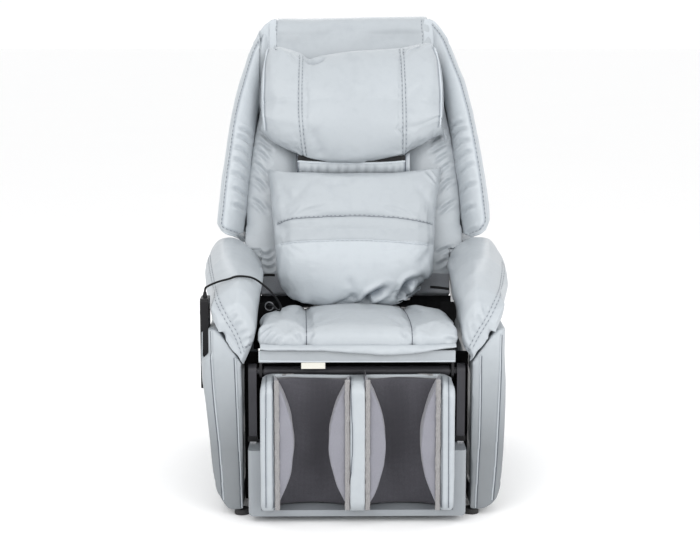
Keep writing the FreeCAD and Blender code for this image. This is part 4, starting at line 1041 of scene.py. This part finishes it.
seat = {
    "voxel": 0.006, "waves": (0.08, 0.002, 7.0), "channelCut": (0.007, 0.0085, 0.10),
    "seamCut": (0.002, 0.0028, 0.5), "gatherCut": (0.0036, 0.005, 0.15, 0.6), "most": 0.018,
    "left": [(262, 314), (259, 320), (257.9, 330), (258, 338), (260, 345)],
    "right": [(452, 312), (456, 320), (457.8, 330), (457.6, 340), (455, 345)],
    "gathers": [[(260, 346), (264, 337), (271, 329)], [(266, 346.5), (270, 338), (277, 331)],
        [(274, 346.5), (278, 340), (284, 335)], [(259, 334), (265, 329), (272, 325)],
        [(457, 343), (452, 340), (446, 339)], [(300, 345), (299, 338), (295, 332)],
        [(308, 345), (309, 338), (313, 333)], [(408, 345), (407, 338), (403, 333)]],
    "hem": [(260, 345.4, 350.2), (275, 346.2, 351.2), (303, 346.3, 351.0), (330, 346.2, 351.8), (360, 346.3, 354.2),
        (386, 346.4, 355.6), (411, 346.2, 354.4), (435, 345.8, 350.6), (456.5, 344.6, 347.4)],
    "seamPlan": [(-0.1160, -0.1260), (0.1262, 0.1274)],
    "hemPlane": -0.447, "tabPlane": -0.4335,
    "apronEdges": [[(259, 361), (300, 361.4), (350, 361.6), (400, 361.6), (457, 361)],
        [(259, 351.5), (259, 356), (259, 361)], [(456.6, 351.5), (456.6, 356), (456.6, 361)]],
    "tab": (301.2, 325.2, 361.6, 368.4),
}


def spotAt(pixel, plane):
    eye = camera.matrix_world.translation
    ray = sight(pixel)
    return eye + ray * ((plane - eye.y) / ray.y)


def makeHem():
    rows = []
    for x, top, low in smoothLine(seat["hem"], 4.0):
        start = spotAt((x, top), seat["hemPlane"] + 0.002)
        end = spotAt((x, low), seat["hemPlane"])
        wave = 0.0022 * math.sin(x * 0.16) + 0.0014 * math.sin(x * 0.41 + 1.0)
        rows.append([start + Vector((0, 0.006, 0.003)), start, (start + end) / 2 + Vector((0, -0.0055 + wave, 0)),
                     end + Vector((0, -0.002 + wave, 0)), end + Vector((0, 0.006, 0.001))])
    faces = []
    for index in range(len(rows) - 1):
        first = index * 5
        faces += [(corner, corner + 1, corner + 6, corner + 5) for corner in range(first, first + 4)]
    piece = fromFaces("seatHem", [tuple(spot) for row in rows for spot in row], faces)
    modify(piece, "SOLIDIFY", thickness=0.0018, offset=-1)
    finish(subdivide(piece, 2), "chair_base", looks["light_leather"])


def makeTab():
    left, right, top, low = seat["tab"]
    plane = seat["tabPlane"]
    high = spotAt(((left + right) / 2, top), plane)
    deep = spotAt(((left + right) / 2, low), plane)
    wide = (spotAt((right, top), plane) - spotAt((left, top), plane)).length
    middle = (high.x, plane, (high.z + deep.z) / 2)
    bpy.ops.object.select_all(action="DESELECT")
    bpy.ops.mesh.primitive_cube_add(size=1, location=middle)
    bpy.ops.object.mode_set(mode="EDIT")
    bpy.ops.mesh.select_all(action="SELECT")
    bpy.ops.transform.resize(value=(wide, 0.0024, high.z - deep.z), center_override=middle)
    bpy.ops.mesh.subdivide(number_cuts=5)
    bpy.ops.object.mode_set(mode="OBJECT")
    tab = settle("creamTab")
    spots = points(tab)
    turned = np.clip((deep.z + 0.006 - spots[:, 2]) / 0.006, 0, 1)
    spots[:, 1] -= turned * turned * 0.0035
    setPoints(tab, spots)
    modify(tab, "BEVEL", width=0.0006, segments=2)
    finish(tab, "chair_base", creamLook)
    bpy.ops.object.shade_smooth_by_angle(angle=math.radians(40))


# The two seams run straight back over the top, and down the front
def seatRows(tree):
    rows = []
    for front, rear in seat["seamPlan"]:
        above = [(front + (rear - front) * part / 60, -0.43 + 0.48 * part / 60) for part in range(61)]
        top = [tree.ray_cast(Vector((x, y, 0.6)), Vector((0, 0, -1))) for x, y in above]
        face = [tree.ray_cast(Vector((front, -0.7, 0.402 + 0.003 * part)), Vector((0, 1, 0))) for part in range(11)]
        rows.append([hit[:2] for hit in face + top if hit[0]])
    return rows


def makeSeat():
    piece = remesh(copyOf("seatSkin", "seat_cushion"), seat["voxel"], 2)
    inflate(piece, seatRows(skinOf(piece)), seat["most"])
    subdivide(piece)
    fitEdges(piece, seat, [("left", 340), ("right", 370)])
    swell(piece, *seat["waves"])
    tree = skinOf(piece)
    seams = [onSkin(tree, row, 0.005, 8) for row in seatRows(tree)]
    press(piece, seams, *seat["channelCut"])
    press(piece, seams, *seat["seamCut"])
    press(piece, traceAll(tree, seat["gathers"]), *seat["gatherCut"])
    tree = dress(piece, "chair_base", "seat_cushion")
    seamShadeLine("seatSeams", seatRows(tree), "chair_base", 0.0011)
    makeHem()
    apron = modify(copyOf("seatApronSkin", "seat_apron"), "BEVEL", width=0.0015, segments=2)
    tree = skinOf(apron)
    # Painted shade: the apron takes the darker copy of the leather
    finish(apron, "chair_base", looks["apron_leather"], False)
    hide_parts("seat_apron")
    rows = [row for row in traceAll(tree, seat["apronEdges"]) if len(row) > 2]
    ribbon("apronHem", [onSkin(tree, row) for row in rows], tree, 0.0038, 0.0012, "chair_base", pipingLook)
    makeTab()


makeSeat()
print("seat made")


# Arms: padded bodies with welts, and arm pads with a double stitched band

arms = {
    "voxel": 0.008, "padVoxel": 0.006, "waves": (0.12, 0.0016), "padWaves": (0.09, 0.0016), "leftMiddle": 236,
    "rightMiddle": 478, "weltCut": (0.0018, 0.003, 0.35), "puckerCut": (0.0026, 0.0045, 0.12, 0.6),
    "bandCut": (0.0013, 0.0026, 0.3), "rearDrop": 0.009, "rearDraw": 0.005,
    "leftBodyOut": [(201.3, 360), (202.2, 378), (206, 403), (210.4, 447), (212.5, 468), (216.3, 490), (223.4, 505)],
    "rightBodyOut": [(505.3, 360), (506.4, 382), (505.9, 403), (503.7, 447), (502, 469), (500.4, 485), (497.7, 498),
        (490.7, 507)],
    "leftPadOut": [(214.7, 242.4), (208.9, 252.1), (205.5, 262.5), (204.9, 271.7), (205.5, 284.3), (207.2, 296),
        (209.5, 310), (212, 320)],
    "rightPadOut": [(491.4, 238.4), (498.2, 246.4), (504, 259), (507.4, 271.7), (508, 284.3), (506.3, 298),
        (504, 315.3)],
    "leftPadIn": [(261.8, 262), (263.5, 268.2), (263.5, 279.7), (260.6, 293.5), (258.9, 306), (257.7, 317.6),
        (257.2, 329), (254.3, 340.5), (249.7, 352), (245.5, 362)],
    "rightPadIn": [(448.9, 254.4), (446.6, 265.9), (447.7, 279.7), (450, 298), (454.6, 317.6), (459.2, 332.5),
        (462.7, 346.3), (469.5, 358)],
    "leftTop": [(215, 242), (221, 237.8), (231.3, 237.2), (241, 240), (252, 247.5), (260, 257)],
    "rightTop": [(452, 249), (459.2, 241.8), (471.8, 237.2), (483.3, 236.6), (490, 238)],
    "leftOuter": [(211.2, 331), (211.5, 345), (212, 360), (214.8, 400), (219, 440), (221.5, 470), (223.5, 500)],
    "leftInner": [(235.4, 358), (235.8, 367), (237.3, 400), (239, 440), (241, 475), (242, 508)],
    "rightOuter": [(501.2, 335), (501, 345), (500.6, 360), (498.8, 400), (496.8, 440), (494.8, 470), (492, 500)],
    "rightInner": [(480.4, 356), (480.2, 367), (480, 400), (479, 440), (477, 475), (475.4, 508)],
    "leftBand": [(208.8, 255), (210, 266), (211.6, 275), (213.6, 285), (217.6, 301), (226.7, 319), (235.9, 334.5),
        (242.5, 352)],
    "rightBand": [(503.4, 262), (503, 275), (501.6, 284), (499.4, 293.5), (493, 308), (486.8, 320), (478, 334),
        (470.7, 348)],
    "leftLow": [(211.7, 321), (217.3, 331), (224, 341), (233, 354), (243, 364.5)],
    "rightLow": [(471.8, 361), (483.3, 347), (498.3, 329), (503.4, 316)],
    "leftTip": [(244, 348.5), (249, 346), (254, 341.5), (256.4, 336)],
    "rightTip": [(470, 350), (466, 347), (462, 342), (460, 337)],
    "leftPuckers": [[(229, 321), (233, 317), (238, 315)], [(234, 329), (238, 325), (243, 323)],
        [(238, 337), (243, 333), (249, 331)], [(241, 344), (246, 340), (252, 338)],
        [(228, 333), (233, 340), (237, 348)]],
    "rightPuckers": [[(488, 316), (485, 311), (484, 304)], [(482, 326), (479, 320), (478, 313)],
        [(476, 335), (473, 329), (472, 322)], [(471, 343), (468, 337), (467, 330)]],
}


def makeArm(side):
    way = -1 if side == "left" else 1
    middle = arms[side + "Middle"]
    body = subdivide(remesh(copyOf(side + "ArmSkin", side + "_arm_body"), arms["voxel"], 2))
    fitEdge(body, arms[side + "BodyOut"], middle)
    spots = points(body)
    behind = np.clip((spots[:, 1] - 0.31) / 0.03, 0, 1) * np.clip((0.350 - np.abs(spots[:, 0])) / 0.02, 0, 1)
    spots[:, 2] -= arms["rearDrop"] * behind * np.clip((spots[:, 2] - 0.36) / 0.05, 0, 1)
    setPoints(body, spots)
    swell(body, *arms["waves"], 11.0 + way)
    tree = skinOf(body)
    outer = seamOn(tree, arms[side + "Outer"])
    inner = seamOn(tree, arms[side + "Inner"])
    press(body, [outer, inner], *arms["weltCut"])
    # Painted shade: the arm body's leather darkens towards the bottom
    tree = dress(body, "chair_base", side + "_arm_body", look=armPaintedShadeLook)
    tube(side + "ArmPiping", [onSkin(tree, outer), onSkin(tree, inner)], 0.0020, "chair_base", bindingLook)
    seams = [beside(outer, tree, 0.0034 * way), beside(inner, tree, 0.0034 * way)]
    seamShadeLine(side + "ArmSeams", seams, "chair_base", 0.0008)
    pad = subdivide(remesh(copyOf(side + "ArmPadSkin", side + "_arm_pad"), arms["padVoxel"], 3))
    fitEdges(pad, arms, [(side + "PadOut", middle), (side + "PadIn", middle)],
             [(side + "Top", 300), (side + "Low", 290)])
    spots = points(pad)
    spots[:, 1] -= arms["rearDraw"] * np.clip((spots[:, 1] - 0.29) / 0.03, 0, 1)
    setPoints(pad, spots)
    swell(pad, *arms["padWaves"], 13.0 + way)
    tree = skinOf(pad)
    band = seamOn(tree, arms[side + "Band"], 0.04)
    tip = seamOn(tree, arms[side + "Tip"])
    press(pad, traceAll(tree, arms[side + "Puckers"]), *arms["puckerCut"])
    rows = [beside(band, tree, 0.0042), beside(band, tree, -0.0042), tip]
    press(pad, rows, *arms["bandCut"])
    tree = dress(pad, "chair_base", side + "_arm_pad")
    strew(side + "ArmStitches", [onSkin(tree, row) for row in rows + [beside(tip, tree, 0.004)]], "chair_base")


makeArm("left")
makeArm("right")
print("arms made")


# Calf unit: tray skins with wall seams, knit linings, airbags and ribbed trims

calf = {
    "voxel": 0.005, "trimVoxel": 0.0022, "trayWaves": (0.08, 0.001, 15.0), "liningWaves": (0.05, 0.003, 16.0),
    "bagWaves": (0.05, 0.0025, 17.0), "trimWaves": (0.012, 0.0016, 18.0), "seamCut": (0.0016, 0.0035, 0.4),
    "stripSize": (0.007, 0.0014),
    "seams": [[(266, 376), (265.8, 400), (265.8, 450), (266, 508)],
        [(273.4, 376), (273.2, 400), (273.2, 450), (273.6, 508)],
        [(350.6, 376), (351, 400), (352.4, 430), (352, 460), (348, 500)],
        [(364, 376), (365, 400), (367, 430), (367, 460), (367, 500)],
        [(441.8, 376), (441.8, 400), (441.8, 450), (441.6, 508)],
        [(448.6, 376), (448.8, 400), (448.8, 450), (448.4, 508)]],
    "top": [(260, 380), (263, 376.6), (267, 374.6), (272, 373.6), (350, 374.6), (436, 373.8), (444, 374),
        (449, 376.4), (454, 380)],
    "liningTop": [(268, 377.4), (446, 377.4)],
    "strips": [[(282, 374.4), (310, 373.6), (343, 374.2)], [(371, 374.2), (400, 373.6), (433, 374.4)],
        [(280, 511.3), (310, 511.6), (340, 511.2)], [(372, 511.2), (400, 511.6), (434, 511.2)]],
}


# Loose black cloth across the base, with a slit for the leg rod

liner = {"halfWide": 0.2655, "low": 0.013, "high": 0.374, "deep": -0.3243}


def makeLiner():
    wide, low, high, deep = liner["halfWide"], liner["low"], liner["high"], liner["deep"]
    middle = (low + high) / 2
    bpy.ops.object.select_all(action="DESELECT")
    bpy.ops.mesh.primitive_grid_add(x_subdivisions=88, y_subdivisions=60, size=2, location=(0, deep, middle),
                                    rotation=(math.pi / 2, 0, 0))
    cloth = settle("baseLining")
    spots = points(cloth)
    spots[:, 0] *= wide
    spots[:, 2] = middle + (spots[:, 2] - middle) * (high - low) / 2
    rod = (np.abs(spots[:, 0] - 0.07) < 0.0165) & (spots[:, 2] > 0.235) & (spots[:, 2] < 0.328)
    edge = np.minimum(1, (wide - np.abs(spots[:, 0])) / 0.03)
    lift = np.array([noise.noise(Vector(spot) / 0.08) + noise.noise(Vector(spot) / 0.03) * 0.4 for spot in spots])
    spots[:, 1] += 0.004 * lift * edge
    setPoints(cloth, spots)
    shape = bmesh.new()
    shape.from_mesh(cloth.data)
    shape.verts.ensure_lookup_table()
    bmesh.ops.delete(shape, geom=[shape.verts[index] for index in np.nonzero(rod)[0]], context="VERTS")
    shape.to_mesh(cloth.data)
    shape.free()
    modify(cloth, "SOLIDIFY", thickness=0.0015, offset=0)
    finish(cloth, "chair_base", looks["black_cloth"])
    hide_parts("base_liner")


makeLiner()


# Hangs a black sheet where there is only shade: painted shade
def hangShadeCloth(name, body, box):
    low, high = Vector(box[:3]), Vector(box[3:])
    wide, tall = high.x - low.x, high.z - low.z
    bpy.ops.object.select_all(action="DESELECT")
    bpy.ops.mesh.primitive_grid_add(x_subdivisions=14, y_subdivisions=20, size=1, location=(low + high) / 2,
                                    rotation=(math.pi / 2, 0, 0), scale=(wide, tall, 1))
    cloth = settle(name)
    spots = points(cloth)
    for axis, size in ((0, wide), (2, tall)):
        spots[:, axis] = low[axis] + (spots[:, axis] - spots[:, axis].min()) / np.ptp(spots[:, axis]) * size
    spots[:, 1] += 0.0015 * np.sin(spots[:, 0] * 220) * (high.z - spots[:, 2]) / tall
    setPoints(cloth, spots)
    modify(cloth, "SOLIDIFY", thickness=0.0014, offset=0)
    finish(cloth, body, looks["black_cloth"])


# Black cloths behind the gaps beside the seat and under the bolsters, where there is only shade: painted shade
shadeCloths = {
    "leftSideShadeCloth": ("chair_base", (-0.2645, 0.085, 0.295, -0.2290, 0.085, 0.420)),
    "leftBackShadeCloth": ("back", (-0.2465, 0.101, 0.388, -0.156, 0.101, 0.434)),
    "rightSideShadeCloth": ("chair_base", (0.2290, 0.085, 0.295, 0.2710, 0.085, 0.420)),
    "rightBackShadeCloth": ("back", (0.156, 0.101, 0.388, 0.2570, 0.101, 0.434)),
    "leftGapShadeCloth": ("chair_base", (-0.2610, 0.085, 0.400, -0.2440, 0.085, 0.452)),
}
for name, (body, box) in shadeCloths.items():
    hangShadeCloth(name, body, box)


def makeGrommetRing():
    bpy.ops.object.select_all(action="DESELECT")
    bpy.ops.mesh.primitive_torus_add(major_segments=40, minor_segments=12, major_radius=0.0104, minor_radius=0.0014,
                                     location=(-0.2165, -0.0655, 0.436), rotation=(math.pi / 2, 0, 0))
    finish(settle("grommetRing"), "chair_base", looks["grey_plastic"])


makeGrommetRing()


def makeCalf():
    tray = remesh(copyOf("calfTraySkin", "calf_tray"), calf["voxel"], 1)
    fitEdge(tray, calf["top"], 440, False, 0.03)
    swell(tray, *calf["trayWaves"])
    tree = skinOf(tray)
    seams = [seamOn(tree, seam) for seam in calf["seams"]]
    press(tray, seams, *calf["seamCut"])
    tree = dress(tray, "calf_unit", "calf_tray")
    tray.data.materials.append(looks["charcoal_knit"])
    tray.data.materials.append(looks["ribbed_trim"])
    for face in tray.data.polygons:
        x, y, z = face.center
        well = 0.022 < abs(x) < 0.178
        if well and z < 0.06 and face.normal.z > 0.4:
            face.material_index = 1
        elif well and (z < 0.047 and face.normal.y < -0.5 or z > 0.334 and y < -0.43):
            face.material_index = 2
    seamShadeLine("calfSeams", [onSkin(tree, seam) for seam in seams], "calf_unit", 0.0009)
    strips = [seamOn(tree, strip) for strip in calf["strips"]]
    ribbon("calfStrips", [strip for strip in strips if len(strip) > 3], tree, *calf["stripSize"], "calf_unit",
           looks["ribbed_trim"], "ribbed_trim")
    lining = remesh(copyOf("calfLiningSkin", "calf_linings"), calf["voxel"], 1)
    fitEdge(lining, calf["liningTop"], 440, False, 0.03)
    spots = points(lining)
    # The linings sink in the middle of each well, and the same mask darkens them there as painted shade
    sunkAndShaded = np.exp(-((np.abs(spots[:, 0]) - 0.085) / 0.034) ** 2) * np.clip((0.36 - spots[:, 2]) / 0.09, 0, 1)
    sunkAndShaded *= np.clip((spots[:, 2] - 0.03) / 0.12, 0, 1)
    lining.data.attributes.new("paintedShade", "FLOAT", "POINT").data.foreach_set("value", (0.8 * sunkAndShaded).astype(np.float32))
    spots[:, 1] += 0.006 * sunkAndShaded
    setPoints(lining, spots)
    swell(lining, *calf["liningWaves"])
    dress(lining, "calf_unit", "calf_linings", "charcoal_knit")
    bags = remesh(copyOf("calfAirbagSkin", "calf_airbags"), calf["voxel"], 2)
    swell(bags, *calf["bagWaves"])
    dress(bags, "calf_unit", "calf_airbags", "lilac_fabric")
    trims = remesh(copyOf("calfTrimSkin", "calf_trims"), calf["trimVoxel"], 1)
    swell(trims, *calf["trimWaves"])
    finish(trims, "calf_unit", looks["ribbed_trim"])
    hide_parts("calf_trims")


makeCalf()


# Remote pouch, with a thin wall and a mouth

pouch = {"voxel": 0.0016, "waves": (0.05, 0.0006, 19.0),
         "side": [(201.6, 325), (201.4, 356), (201.3, 362), (202.2, 378), (205.6, 399), (208.4, 422)]}

def makePouch():
    piece = remesh(copyOf("remotePouch", "remote_pocket"), pouch["voxel"], 2)
    fitEdge(piece, pouch["side"], 214)
    swell(piece, *pouch["waves"])
    finish(piece, "chair_base", looks["light_leather"])
    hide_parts("remote_pocket")


makePouch()
print("calf unit and pouch made")
